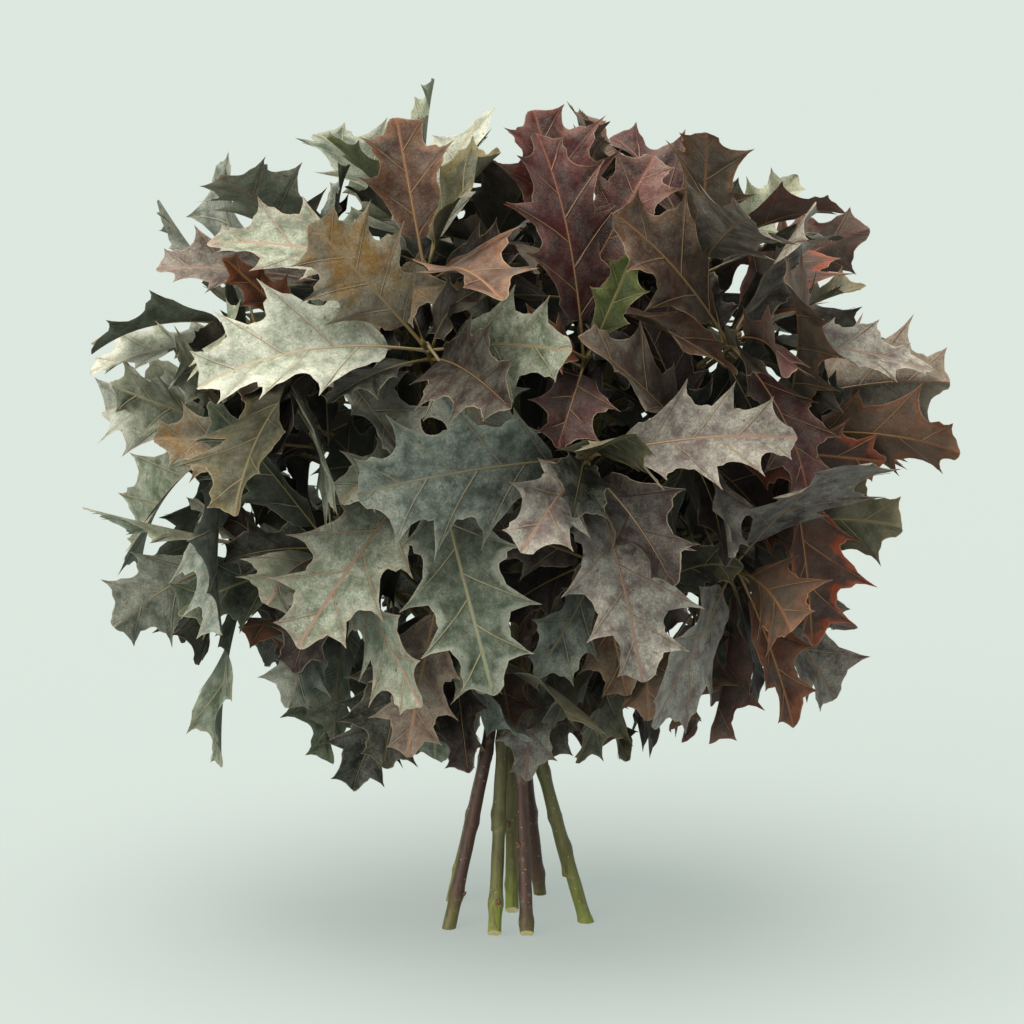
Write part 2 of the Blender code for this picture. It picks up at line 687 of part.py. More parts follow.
def add_shoot(shoot, leaves, collection, made):
    """A side shoot and its whorl, grown as one closed body."""
    solid = bmesh.new()
    centres = shoot.path
    rings = []
    for index, centre in enumerate(centres):
        if index == 0:
            along = unit(centres[1] - centre)
        elif index >= len(centres) - 3:
            along = shoot.facing
        else:
            along = unit(centres[index + 1] - centres[index - 1])
        # The ring's corners follow the whorl's, so that each leaf has a face to grow from.
        first = whorl_side(shoot, -math.pi / SHOOT_SIDES)
        first = unit(first - along * np.dot(first, along))
        second = np.cross(along, first)
        ring = []
        for corner in range(SHOOT_SIDES):
            angle = corner * math.tau / SHOOT_SIDES
            arm = first * math.cos(angle) + second * math.sin(angle)
            ring.append(solid.verts.new(centre + arm * SHOOT_RADIUS))
        rings.append(ring)
    solid.faces.new(rings[0])
    taken = {leaf.face_index: leaf_rings(leaf, frames) for leaf, frames in leaves}
    for index, (ring, onward) in enumerate(zip(rings, rings[1:])):
        tier = index - (len(rings) - 3)  # 0 in the lower tier of leaves, 1 in the upper
        for corner in range(SHOOT_SIDES):
            after = (corner + 1) % SHOOT_SIDES
            corners = (ring[corner], ring[after], onward[after], onward[corner])
            if corner in taken and tier == corner % 2:
                grow_leaf(solid, corners, *taken[corner])
            else:
                solid.faces.new(corners)
    solid.faces.new(rings[-1])
    bmesh.ops.recalc_face_normals(solid, faces=solid.faces)
    mesh = bpy.data.meshes.new(shoot.name)
    solid.to_mesh(mesh)
    solid.free()
    return linked(shoot.name, mesh, collection, made)


def family(shoot):
    """Silver-green leaves on the left, burgundy and brown ones on the right."""
    x = shoot.path[-1][0]
    if x < LEFT_END:
        return "silver" if shoot.place % 3 else "sage"
    if x < RIGHT_START:
        return "sage" if shoot.place % 2 else "rose"
    return "burgundy" if shoot.place % 3 else "russet"


def main():
    for thing in list(bpy.data.objects):
        bpy.data.objects.remove(thing)
    bunch = bpy.data.collections.new("autumn_leaf_bunch")
    helpers = bpy.data.collections.new("cutters")
    for collection in (bunch, helpers):
        bpy.context.scene.collection.children.link(collection)
    green_bark = material("green_bark", (0.16, 0.20, 0.05), 0.6)
    brown_bark = material("brown_bark", (0.12, 0.065, 0.045), 0.65)
    raffia = material("raffia", (0.52, 0.38, 0.20), 0.7)
    leaf_colours = {
        "silver": material("silver_leaf", (0.30, 0.36, 0.31), 0.6),
        "sage": material("sage_leaf", (0.13, 0.18, 0.10), 0.55),
        "rose": material("rose_leaf", (0.30, 0.19, 0.15), 0.6),
        "burgundy": material("burgundy_leaf", (0.10, 0.032, 0.03), 0.5),
        "russet": material("russet_leaf", (0.19, 0.075, 0.04), 0.55),
    }
    cutters = {"floor": add_floor_cutter(helpers)}
    crowd = Crowd()
    for stem in range(RING_STEMS + 1):
        add_stem(stem, bunch, cutters, brown_bark if stem % 3 == 1 else green_bark)
        heights = stem_heights(stem, 0.0)
        path = [stem_point(stem, height) for height in heights]
        radii = [stem_radius(height) for height in heights]
        crowd.add(*tube_surface(path, radii, STEM_SIDES))
    add_tie(bunch, raffia)
    shoots = plan_shoots(crowd)
    settled = settle_leaves(shoots, crowd)
    for shoot in shoots:
        add_shoot(shoot, settled[shoot.name], bunch, leaf_colours[family(shoot)])


main()
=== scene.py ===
import json
import math
import random
from collections import namedtuple

import bmesh
import bpy
import numpy as np
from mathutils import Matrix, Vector
from mathutils.bvhtree import BVHTree
from mathutils.kdtree import KDTree


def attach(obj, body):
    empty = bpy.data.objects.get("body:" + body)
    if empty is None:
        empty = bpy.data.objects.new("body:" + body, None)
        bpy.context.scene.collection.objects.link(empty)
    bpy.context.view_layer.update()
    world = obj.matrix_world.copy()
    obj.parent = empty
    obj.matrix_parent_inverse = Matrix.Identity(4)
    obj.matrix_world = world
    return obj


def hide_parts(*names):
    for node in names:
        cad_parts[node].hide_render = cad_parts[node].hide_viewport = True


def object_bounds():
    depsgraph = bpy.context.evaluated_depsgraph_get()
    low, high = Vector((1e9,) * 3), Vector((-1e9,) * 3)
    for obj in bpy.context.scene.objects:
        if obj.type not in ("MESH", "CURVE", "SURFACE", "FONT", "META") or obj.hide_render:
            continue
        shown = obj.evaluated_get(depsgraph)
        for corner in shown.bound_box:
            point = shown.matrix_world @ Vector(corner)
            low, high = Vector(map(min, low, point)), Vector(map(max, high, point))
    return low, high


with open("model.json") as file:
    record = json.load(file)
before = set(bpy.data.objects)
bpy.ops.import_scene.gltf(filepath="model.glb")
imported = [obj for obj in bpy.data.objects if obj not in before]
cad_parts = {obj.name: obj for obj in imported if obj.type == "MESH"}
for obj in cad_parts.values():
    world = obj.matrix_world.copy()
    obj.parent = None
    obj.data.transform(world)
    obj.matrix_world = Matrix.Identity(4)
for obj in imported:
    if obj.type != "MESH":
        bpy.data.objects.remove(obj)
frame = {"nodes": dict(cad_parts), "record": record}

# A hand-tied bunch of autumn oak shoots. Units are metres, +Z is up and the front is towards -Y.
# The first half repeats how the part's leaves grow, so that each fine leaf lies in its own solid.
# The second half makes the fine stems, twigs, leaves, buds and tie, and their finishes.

cad_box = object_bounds()

# ---- The part's own dimensions ----

HEAD_CENTRE = (0.0, 0.0, 0.264)
HEAD_RADII = (0.142, 0.112, 0.112)
HEAD_ROUNDNESS = 0.72
UPTURN = 1.2
LOWEST_LEAF = 0.085
RING_STEMS = 8
STEM_RADIUS = 0.0038
STEM_TIP_RADIUS = 0.0026
STEM_TOP = 0.318
CENTRE_TOP = 0.330
RING_RADIUS = 0.0119
TOP_RING_RADIUS = 0.062
FOOT_RING_RADIUS = 0.0424
TIE_HEIGHT = 0.118
NECK = 0.018
TRIM = 0.010
TOP_START = 21
CENTRE_SWAY = 0.0035
SWAY_RATE = 16.0
Foot = namedtuple("Foot", "azimuth height")
FEET = (
    Foot(11, 0.0),
    Foot(72, 0.0),
    Foot(120, 0.018),
    Foot(158, 0.0),
    Foot(195, 0.040),
    Foot(232, 0.0),
    Foot(306, 0.0),
    Foot(347, 0.0),
)
TIE_WIDTH = 0.009
GAP = 0.0004
SHOOT_RADIUS = 0.0017
SHOOT_SIDES = 6
SHOOT_JOINTS = 3
WHORL_STEP = 0.0042
LAUNCH = 0.010
LANDING = 0.35
CROWN_LAUNCH = 0.006
CROWN_LANDING = 0.020
CENTRE_DROP = 0.012
CENTRE_STEP = 0.013
CENTRE_SLACK = 0.005
SHOOT_RISE = 0.045
LOWEST_START = 0.028
HIGHEST_START = 0.020
START_STEPS = (0, -1, 1, -2, 2, -3, 3, 4, 5, 6)
START_STEP = 0.008
TIE_KEEP = 0.018
TOP_KEEP = 0.008
WHORL_SPIN = 37
Row = namedtuple("Row", "elevation count first_azimuth leaf_length sag")
ROWS = (
    Row(77, 4, 20, 0.100, 0.10),
    Row(51, 8, 21, 0.106, 0.20),
    Row(24, 10, 18, 0.110, 0.30),
    Row(1, 11, -18, 0.114, 0.40),
    Row(-23, 10, 21, 0.110, 0.60),
    Row(-52, 6, 42, 0.104, 1.00),
)
SEED = 200
SHOOT_LEAVES = 5
STAGGER = 0.07
PETIOLE_SHARE = 0.15
PETIOLE_RADIUS = 0.0009
BAY_DEPTH = 0.44
FORWARD = 0.50
STATIONS = 25
CLEARANCE = 0.0010
BAY_ROUNDNESS = 0.75
OVAL_BASE = 0.55
OVAL_TIP = 0.8
OVAL_PEAK = 0.4015
RIPPLES = 1.6
RIPPLE_LAG = 1.9
PLACED_WAVE = 0.003
SIZES = (1.0, 0.88, 0.76, 0.64)
SWINGS = (0, -10, 10, -20, 20)
LIFTS = (0, -9, 9, -18, 18, -30)
SLENDER_SHOOTS = ("shoot_08", "shoot_36", "shoot_45")
SLENDER_SHARE = 0.85
MATCH = 0.00015  # a fine leaf's tip lies this close to its solid's tip

Leaf = namedtuple(
    "Leaf", "face_index turn opening length width lobes reflex sag fold twist roll wave phase"
)
Shoot = namedtuple("Shoot", "name row place stem path facing side length sag")
# Aim is in millimetres from the stalk to the tip, width a share of the length, and turns are degrees.
Placed = namedtuple("Placed", "row place aim width lobes roll reflex sag fold twist look")
PLACED = (
    Placed(3, 0, (-70, -50, -82), 0.29, 4, 6, 14, 0.1, 12, 8, "silver_rosy"),
    Placed(3, 0, (35, -55, -110), 0.26, 4, -8, 18, 0.1, 16, -14, "green_silver_edged"),
    Placed(2, 9, (65, -60, 15), 0.31, 3, 10, 12, 0.2, 8, 10, "silver_green"),
    Placed(2, 9, (38, -58, -42), 0.34, 3, 0, 46, 0.2, 10, -6, "white"),
    Placed(2, 8, (55, -82, -42), 0.27, 4, -26, 30, 0.2, 44, -20, "white"),
    Placed(2, 9, (-50, -34, 62), 0.36, 4, -12, 10, 0.1, 14, 12, "beige_ochre"),
    Placed(2, 0, (-10, -56, -22), 0.40, 3, 0, 36, 0.2, 30, 0, "burgundy"),
    Placed(3, 2, (-40, -60, 65), 0.27, 3, 14, 20, 0.0, 24, 16, "pink_tan"),
    Placed(3, 1, (100, -22, 25), 0.28, 4, -18, 24, 0.2, 10, -20, "pink_silver"),
    Placed(3, 2, (102, 16, -8), 0.24, 4, 16, 16, 0.1, 18, 22, "orange_edged"),
    Placed(2, 2, (104, 0, 0), 0.25, 4, 20, 10, 0.2, 12, 10, "pink_silver"),
    Placed(2, 7, (-90, -4, -10), 0.27, 4, -14, 12, 0.1, 16, -18, "white"),
    Placed(4, 7, (-92, -15, 22), 0.26, 4, 10, 14, 0.2, 12, 12, "silver_green"),
    Placed(1, 6, (-96, -6, 22), 0.26, 4, -12, 14, 0.1, 20, -16, "brown_mauve"),
    Placed(1, 6, (-62, 20, 62), 0.24, 3, 10, 12, 0.0, 20, 10, "silver_green"),
    Placed(1, 0, (-18, -8, 92), 0.40, 4, -6, 12, 0.0, 14, 8, "maroon"),
    Placed(1, 0, (40, 16, 74), 0.33, 4, 8, 16, 0.0, 16, -10, "maroon"),
    Placed(0, 3, (-42, -16, 56), 0.36, 3, 0, 14, 0.0, 18, 6, "green"),
    Placed(1, 7, (-14, 6, 76), 0.34, 3, 6, 16, 0.0, 24, 10, "brown"),
    Placed(1, 1, (52, 12, 50), 0.24, 4, 18, 12, 0.0, 14, 12, "pale_green"),
    Placed(0, 1, (54, -12, 34), 0.34, 3, -8, 12, 0.0, 20, -12, "brown"),
    Placed(2, 2, (52, 2, 58), 0.28, 4, 12, 16, 0.0, 20, 10, "olive"),
    Placed(4, 0, (-52, -40, 28), 0.30, 3, 16, 24, 0.2, 16, 10, "brown_mauve"),
    Placed(3, 2, (-34, -50, -62), 0.26, 3, -14, 18, 0.2, 20, -10, "pale_green"),
    Placed(4, 0, (16, -26, -62), 0.36, 3, 8, 20, 0.1, 34, 12, "peach"),
    Placed(4, 0, (-32, -42, -46), 0.34, 3, 0, 26, 0.1, 18, 0, "blue_grey"),
    Placed(5, 0, (-20, -25, -74), 0.33, 4, -8, 16, 0.1, 20, 12, "olive"),
    Placed(4, 9, (-20, -20, -84), 0.27, 4, 10, 12, 0.1, 16, -10, "pink_tan"),
    Placed(5, 4, (-25, -35, -70), 0.36, 4, 0, 16, 0.1, 16, 6, "silver_green"),
    Placed(4, 8, (-86, 12, -28), 0.29, 3, 12, 20, 0.2, 24, 14, "dark_green"),
    Placed(5, 4, (-52, -18, -30), 0.32, 3, -10, 24, 0.1, 26, -12, "rust"),
    Placed(5, 1, (60, -20, 0), 0.28, 3, 10, 20, 0.1, 18, 16, "brown"),
    Placed(5, 5, (38, -12, -48), 0.28, 3, 8, 18, 0.1, 20, 10, "blue_grey"),
    Placed(5, 0, (-46, -28, -62), 0.34, 3, -6, 18, 0.1, 18, -8, "olive"),
    Placed(3, 10, (-86, 4, 6), 0.26, 4, -12, 16, 0.1, 22, 10, "beige_ochre"),
    Placed(2, 0, (24, -12, 56), 0.22, 3, 8, 14, 0.0, 16, 6, "bright_green"),
    Placed(2, 0, (76, -16, 44), 0.34, 3, -14, 14, 0.0, 18, 10, "burgundy"),
    Placed(2, 8, (-46, -18, 50), 0.22, 4, 40, 12, 0.0, 30, -20, "rust"),
)

# ---- What the fine leaves add to the solids ----

HALF_THICKNESS = 0.00022  # of a real oak leaf's blade
FINE_BAY_DEPTH = 0.44
FINE_ROUNDNESS = 0.72
SIDE_TOOTH = 0.09  # share of the width that the small tooth between two lobes stands out
TOOTH_PLACE = 0.25  # from the lobe's tip, as a share of a lobe
TOOTH_REACH = 0.12
BRISTLE = 0.08  # share of the width that each lobe's bristle stands out
BRISTLE_NARROWNESS = 0.13
TIP_CURL = 0.0016  # how far the lobes' ends curl out of the blade
QUILTING = 0.0005  # how far the blade swells between its side veins
VEIN_LEAN = 0.34  # side veins start this share of a lobe further back than they end
HALF_LOBE_STEPS = (0.0, 0.05, 0.13, 0.25, 0.37, 0.45)  # rows within half a lobe, close at the ends
COLUMNS = (0.0, 0.22, 0.5, 0.78, 1.0)  # from the midrib to the margin
FILLER_LEAVES = 4
FILLER_OPENING = (40, 95)
FILLER_SIZES = (0.85, 0.68, 0.52)
FILLER_SWINGS = (0, -25, 25)
FILLER_LIFTS = (0, -20, 20)
NECK_LEAF_RISE = (0.022, 0.042)  # above the tie
NECK_LEAF_UPTURN = 0.5
NECK_LEAF_LENGTH = 0.066
NECK_LEAF_SAG = 0.9
NECK_LEAF_SIZES = (1.0, 0.85, 0.7, 0.55)
NECK_LEAF_SWINGS = (0, -20, 20, -40, 40)

# Each look: the blade's colour, its blotches, its edge, its veins, and how much pale bloom lies on it.
Look = namedtuple("Look", "blade blotch edge vein bloom")
LOOKS = {
    "silver_rosy": Look("#84917a", "#75806a", "#a39c8a", "#c09a8c", 0.85),
    "silver_green": Look("#7d8a70", "#56673f", "#a3a792", "#b9ab90", 0.85),
    "green_silver_edged": Look("#4f6150", "#3a4c38", "#a7b0a2", "#9fa68a", 0.35),
    "sage": Look("#5d6d5a", "#46563f", "#8f9882", "#a9a98e", 0.50),
    "white": Look("#a9b0a2", "#7f8b76", "#cfd2c8", "#b9ae9a", 1.00),
    "pale_green": Look("#96a186", "#7b8a6b", "#b5b9a0", "#bdb795", 0.60),
    "blue_grey": Look("#74807a", "#56625a", "#939d92", "#9f9f8c", 0.65),
    "beige_ochre": Look("#857b6c", "#a57a38", "#8f7c62", "#b39a7c", 0.45),
    "pink_silver": Look("#8f807e", "#756462", "#a79a94", "#b59488", 0.80),
    "pink_tan": Look("#8d7466", "#6f564c", "#a48a78", "#b9917c", 0.50),
    "brown_mauve": Look("#73605e", "#574644", "#8a7670", "#a18074", 0.55),
    "peach": Look("#9a7354", "#7c5a42", "#a9805c", "#b98f6c", 0.30),
    "maroon": Look("#7e3a36", "#4e2426", "#8a534a", "#a8685c", 0.22),
    "burgundy": Look("#5e2429", "#3b171c", "#743f3b", "#8f5048", 0.16),
    "brown": Look("#68422f", "#452a22", "#8a5d40", "#9a6c50", 0.20),
    "orange_edged": Look("#5a3226", "#43241d", "#b94a1c", "#a0603c", 0.10),
    "rust": Look("#6e3820", "#4c261a", "#94502c", "#a0643f", 0.12),
    "olive": Look("#575539", "#43412b", "#7d6f45", "#8f8660", 0.25),
    "green": Look("#56663c", "#41502f", "#7f8a58", "#97995f", 0.20),
    "bright_green": Look("#75853f", "#5f7034", "#8f9850", "#a8a866", 0.15),
    "dark_green": Look("#33412f", "#27331f", "#5c6a50", "#76805c", 0.25),
}
LEFT_LOOKS = (
    "silver_green", "silver_green", "sage", "white", "sage", "pale_green", "silver_rosy",
    "green_silver_edged", "blue_grey", "dark_green", "beige_ochre", "olive",
)
RIGHT_LOOKS = (
    "burgundy", "maroon", "brown", "burgundy", "brown_mauve", "brown", "orange_edged",
    "pink_silver", "rust", "burgundy", "olive", "pink_tan",
)
DARK_LOOKS = ("dark_green", "burgundy", "brown", "olive", "dark_green")
LEAF_TONE = 0.50  # the looks are as seen in strong light, and the leaves' own colour is darker
TONE_RANGE = (0.72, 1.15)  # from leaf to leaf
# Neck leaves are darker than the rest: painted shade under the head.
NECK_SHADE_TONE_RANGE = (0.6, 0.9)
RIGHT_TONE = 0.86  # the bunch is darker on the right
INNER_PAINTED_SHADE_TONE = 0.09  # painted shade: leaves deep inside the head are nearly black
OUTER_RADII = (0.215, 0.185, 0.185)  # of the head, to the leaves' tips
SHADED_SHARE = 0.11  # how dark the painted shade makes a leaf deep inside the head
SHADE_FROM, SHADE_TO = 0.48, 0.94  # shares of the head's radii between which the painted shade fades out
LOOK_BLEND = 0.030  # left and right looks mix within this distance of the head's middle


def unit(v):
    return v / np.linalg.norm(v)


def around(azimuth):
    """Level unit vector; azimuth 0 is the front, and a quarter turn is +X."""
    return np.array((math.sin(azimuth), -math.cos(azimuth), 0.0))


# ---- Stems and side shoots, as the part lays them out ----


def stem_point(stem, height):
    """Centre of a stem at a height. Stem 0 is the middle one; the others bend smoothly at the tie."""
    if stem == 0:
        sway = CENTRE_SWAY * math.sin(max(0.0, height - TIE_HEIGHT) * SWAY_RATE)
        return np.array((sway, 0.0, height))
    turn = math.radians(TOP_START) + (stem - 1) * math.tau / RING_STEMS
    neck = RING_RADIUS * around(turn)
    if height < TIE_HEIGHT:
        end = FOOT_RING_RADIUS * around(math.radians(FEET[stem - 1].azimuth))
        rise, full = TIE_HEIGHT - height, TIE_HEIGHT
    else:
        end = TOP_RING_RADIUS * around(turn)
        rise, full = height - TIE_HEIGHT, STEM_TOP - TIE_HEIGHT
    share = (math.hypot(NECK, rise) - NECK) / (math.hypot(NECK, full) - NECK)
    return neck + (end - neck) * share + np.array((0, 0, height))


def stem_radius(height):
    share = min(1.0, max(0.0, height / STEM_TOP))
    return STEM_RADIUS + (STEM_TIP_RADIUS - STEM_RADIUS) * share


def stem_top(stem):
    return CENTRE_TOP if stem == 0 else STEM_TOP


def whorl_place(row, index):
    """Middle of a whorl and the way it faces, out of the head."""
    azimuth = math.radians(row.first_azimuth) + index * math.tau / row.count
    elevation = math.radians(row.elevation)
    level = math.cos(elevation) * around(azimuth)
    out = np.array((level[0], level[1], math.sin(elevation)))
    stagger = 1 + (STAGGER if index % 2 else -STAGGER)
    square = around(azimuth) * math.cos(elevation) ** HEAD_ROUNDNESS
    square[2] = math.copysign(abs(math.sin(elevation)) ** HEAD_ROUNDNESS, elevation)
    place = np.array(HEAD_CENTRE) + square * HEAD_RADII * stagger
    facing = unit(out / np.array(HEAD_RADII) + np.array((0, 0, UPTURN)))
    return place, facing


def nearest_stems(place, height):
    """The two ring stems nearest to a place, seen from above."""
    ring = range(1, RING_STEMS + 1)
    return sorted(ring, key=lambda stem: np.linalg.norm((stem_point(stem, height) - place)[:2]))[:2]


def whorl_spine(place, facing):
    """The straight end of a shoot, where its two tiers of leaves spring."""
    return [place - facing * WHORL_STEP * tier for tier in (2, 1, 0)]


def side_path(stem, height, place, facing):
    """A side shoot's centre line: square out of its stem, then curving to face the whorl's way."""
    spot = stem_point(stem, height)
    along = unit(stem_point(stem, height + 0.002) - spot)
    out = place - spot
    out[2] = 0
    out = unit(out - along * np.dot(out, along))
    start = spot + out * (stem_radius(height) + GAP)
    root = start + out * SHOOT_RADIUS * 2
    spine = whorl_spine(place, facing)
    reach = np.linalg.norm(spine[0] - root)
    handles = (root, root + out * LAUNCH, spine[0] - facing * reach * LANDING, spine[0])
    path = [start]
    for joint in range(SHOOT_JOINTS):
        s = joint / SHOOT_JOINTS
        weights = ((1 - s) ** 3, 3 * s * (1 - s) ** 2, 3 * s * s * (1 - s), s**3)
        path.append(sum(w * h for w, h in zip(weights, handles)))
    return path + spine


def crown_path(stem, place, facing):
    """A short shoot that carries on from the top of a stem."""
    top = stem_point(stem, stem_top(stem))
    along = unit(top - stem_point(stem, stem_top(stem) - 0.002))
    start = top + along * GAP
    bend = place - facing * CROWN_LANDING
    return [start, start + along * CROWN_LAUNCH, bend, *whorl_spine(place, facing)]


def candidate_paths(row_index, index, place, facing):
    """The ways that a side shoot may reach its whorl, the likeliest first, each with its stem."""
    if row_index == 1:
        return [(1 + index, crown_path(1 + index, place, facing))]
    if row_index == 0:
        highest = CENTRE_TOP - CENTRE_DROP - CENTRE_STEP * index
        heights = [highest - CENTRE_SLACK * extra for extra in range(4)]
        return [(0, side_path(0, height, place, facing)) for height in heights]
    wanted = min(place[2] - SHOOT_RISE, STEM_TOP - HIGHEST_START)
    wanted = max(wanted, TIE_HEIGHT + LOWEST_START)
    heights = [wanted + START_STEP * step for step in START_STEPS]
    heights = [height for height in heights if TIE_HEIGHT + TIE_KEEP < height < STEM_TOP - TOP_KEEP]
    stems = nearest_stems(place, wanted)
    return [(stem, side_path(stem, height, place, facing)) for height in heights for stem in stems]


# ---- Leaves, as the part grows them ----


def placed_leaf(shoot, placed):
    """A leaf that points where it is told to."""
    aim = np.array(placed.aim) / 1000
    length = np.linalg.norm(aim)
    across = np.cross(shoot.facing, shoot.side)
    turn = math.atan2(np.dot(aim, across), np.dot(aim, shoot.side)) % math.tau
    return Leaf(
        face_index=round(turn / math.radians(60)) % SHOOT_SIDES,
        turn=turn,
        opening=math.acos(np.dot(aim, shoot.facing) / length),
        length=length,
        width=length * placed.width,
        lobes=placed.lobes,
        reflex=math.radians(placed.reflex),
        sag=placed.sag,
        fold=math.radians(placed.fold),
        twist=math.radians(placed.twist),
        roll=math.radians(placed.roll),
        wave=PLACED_WAVE,
        phase=turn,
    )


def grown_leaf(shoot, face, draw):
    """A leaf that grows as chance has it: wide and open on an even face, upright on an odd one."""
    outer = face % 2 == 0
    length = shoot.length * (draw.uniform(0.90, 1.12) if outer else draw.uniform(0.66, 0.90))
    return Leaf(
        face_index=face,
        turn=math.radians(60 * face + draw.uniform(-14, 14)),
        opening=math.radians(draw.uniform(62, 86) if outer else draw.uniform(24, 50)),
        length=length,
        width=length * draw.uniform(0.26, 0.33),
        lobes=4 if length > 0.112 else 3,
        reflex=math.radians(draw.uniform(4, 40)),
        sag=shoot.sag * draw.uniform(0.6, 1.4),
        fold=math.radians(draw.uniform(6, 30)),
        twist=math.radians(draw.uniform(-32, 32)),
        roll=math.radians(draw.uniform(-22, 22)),
        wave=draw.uniform(0.002, 0.006),
        phase=draw.uniform(0, math.tau),
    )


def whorl_leaves(shoot):
    """The leaves of a whorl with their looks: the placed ones, and chance ones on the faces left."""
    draw = random.Random(f"{SEED}, {shoot.name}")
    leaves = []
    for placed in PLACED:
        if (placed.row, placed.place) == (shoot.row, shoot.place):
            leaf = placed_leaf(shoot, placed)
            taken = {other.face_index for other, _ in leaves}
            while leaf.face_index in taken:
                leaf = leaf._replace(face_index=(leaf.face_index + 1) % SHOOT_SIDES)
            leaves.append((leaf, placed.look))
    taken = {leaf.face_index for leaf, _ in leaves}
    for face in (0, 2, 4, 1, 3, 5)[:SHOOT_LEAVES]:
        if face not in taken:
            leaves.append((grown_leaf(shoot, face, draw), None))
    return leaves


def settlings(leaf, sizes, swings, lifts):
    """Ways for a leaf to settle between its neighbours, the most natural first."""
    for size in sizes:
        for swing in swings:
            for lift in lifts:
                yield leaf._replace(
                    length=leaf.length * size,
                    width=leaf.width * size,
                    turn=leaf.turn + math.radians(swing),
                    opening=leaf.opening + math.radians(lift),
                )


def whorl_side(shoot, angle):
    """Unit vector square to the whorl's axis, at an angle about it."""
    across = np.cross(shoot.facing, shoot.side)
    return shoot.side * math.cos(angle) + across * math.sin(angle)


def leaf_root(shoot, leaf):
    """Where the leaf's stalk leaves the shoot: the middle of its face in the lower or upper tier."""
    tier = 1.5 if leaf.face_index % 2 == 0 else 0.5
    apothem = SHOOT_RADIUS * math.cos(math.pi / SHOOT_SIDES)
    middle = math.radians(60 * leaf.face_index)
    return shoot.path[-1] - shoot.facing * WHORL_STEP * tier + whorl_side(shoot, middle) * apothem


def leaf_frames(shoot, leaf):
    """Points, tangents, normals and sides at even steps down the leaf's midline, stalk included."""
    level = whorl_side(shoot, leaf.turn)
    out = shoot.facing * math.cos(leaf.opening) + level * math.sin(leaf.opening)
    face = unit(shoot.facing - out * np.dot(shoot.facing, out))
    flank = np.cross(out, face)
    face = face * math.cos(leaf.roll) + flank * math.sin(leaf.roll)
    share = np.linspace(0, 1, STATIONS)[:, None]
    bend = leaf.reflex * share**1.4
    tangent = np.cos(bend) * out - np.sin(bend) * face
    tangent = tangent + np.array((0, 0, -leaf.sag)) * share**1.5
    tangent /= np.linalg.norm(tangent, axis=1, keepdims=True)
    normal = np.cos(bend) * face + np.sin(bend) * out
    normal -= tangent * (normal * tangent).sum(axis=1, keepdims=True)
    normal /= np.linalg.norm(normal, axis=1, keepdims=True)
    side = np.cross(tangent, normal)
    spin = leaf.twist * share
    turn_cos, turn_sin = np.cos(spin), np.sin(spin)
    normal, side = normal * turn_cos + side * turn_sin, side * turn_cos - normal * turn_sin
    steps = (tangent[1:] + tangent[:-1]) / 2 * leaf.length / (STATIONS - 1)
    points = leaf_root(shoot, leaf) + np.vstack((np.zeros(3), np.cumsum(steps, axis=0)))
    return points, normal, side


def plain_half_width(leaf, along, right):
    """Half the solid blade's width: a pointed oval with lobes and bays, left and right in turn."""
    bay = np.abs(np.sin(math.pi * (along * leaf.lobes + 0.5 * right))) ** BAY_ROUNDNESS
    oval = along**OVAL_BASE * (1 - along) ** OVAL_TIP / OVAL_PEAK
    return leaf.width * oval * (1 - BAY_DEPTH * bay) + PETIOLE_RADIUS * (1 - along)


def fine_half_width(leaf, along, right):
    """The same outline with rounder bays, small teeth, and a bristle at the end of each lobe."""
    swing = np.abs(np.sin(math.pi * (along * leaf.lobes + 0.5 * right)))
    oval = along**OVAL_BASE * (1 - along) ** OVAL_TIP / OVAL_PEAK
    count = along * leaf.lobes + 0.5 * right
    tooth = np.maximum(0.0, 1 - np.abs(np.abs(count - np.round(count)) - TOOTH_PLACE) / TOOTH_REACH)
    tooth = tooth * SIDE_TOOTH * np.cos(leaf.phase + 4 * np.round(2 * count))
    lobed = 1 - FINE_BAY_DEPTH * swing**FINE_ROUNDNESS + tooth
    lobed = lobed + BRISTLE * np.exp(-((swing / BRISTLE_NARROWNESS) ** 2))
    return leaf.width * oval * lobed + PETIOLE_RADIUS * (1 - along)


def blade_points(leaf, frames, along, across, lift=0.0, outline=plain_half_width):
    """Points of the blade. Along runs from 0 at the stalk to 1 at the tip, across from -1 to 1."""
    along, across = np.broadcast_arrays(np.asarray(along, float), np.asarray(across, float))
    right = across > 0
    reach = np.abs(across) * outline(leaf, along, right)
    blade = leaf.length * (1 - PETIOLE_SHARE)
    ahead = np.minimum(1.0, along + FORWARD * reach / blade)
    station = (PETIOLE_SHARE + (1 - PETIOLE_SHARE) * ahead) * (STATIONS - 1)
    low = np.minimum(station.astype(int), STATIONS - 2)
    part = (station - low)[..., None]
    point, normal, side = (rows[low] * (1 - part) + rows[low + 1] * part for rows in frames)
    ripple = np.sin(math.tau * RIPPLES * along + leaf.phase + RIPPLE_LAG * right)
    rise = reach * math.sin(leaf.fold) + leaf.wave * across**2 * ripple * np.sin(math.pi * along)
    sideways = np.sign(across) * reach * math.cos(leaf.fold)
    return point + side * sideways[..., None] + normal * (rise + lift)[..., None]


# ---- Finding each shoot and leaf in the frame ----


def node_points(node):
    """A tree of a CAD node's corners, to find which way its shoot and leaves settled."""
    mesh = frame["nodes"][node].data
    tree = KDTree(len(mesh.vertices))
    for index, vertex in enumerate(mesh.vertices):
        tree.insert(vertex.co, index)
    tree.balance()
    return tree


def found(tree, point):
    return tree.find(Vector(point))[2] < MATCH


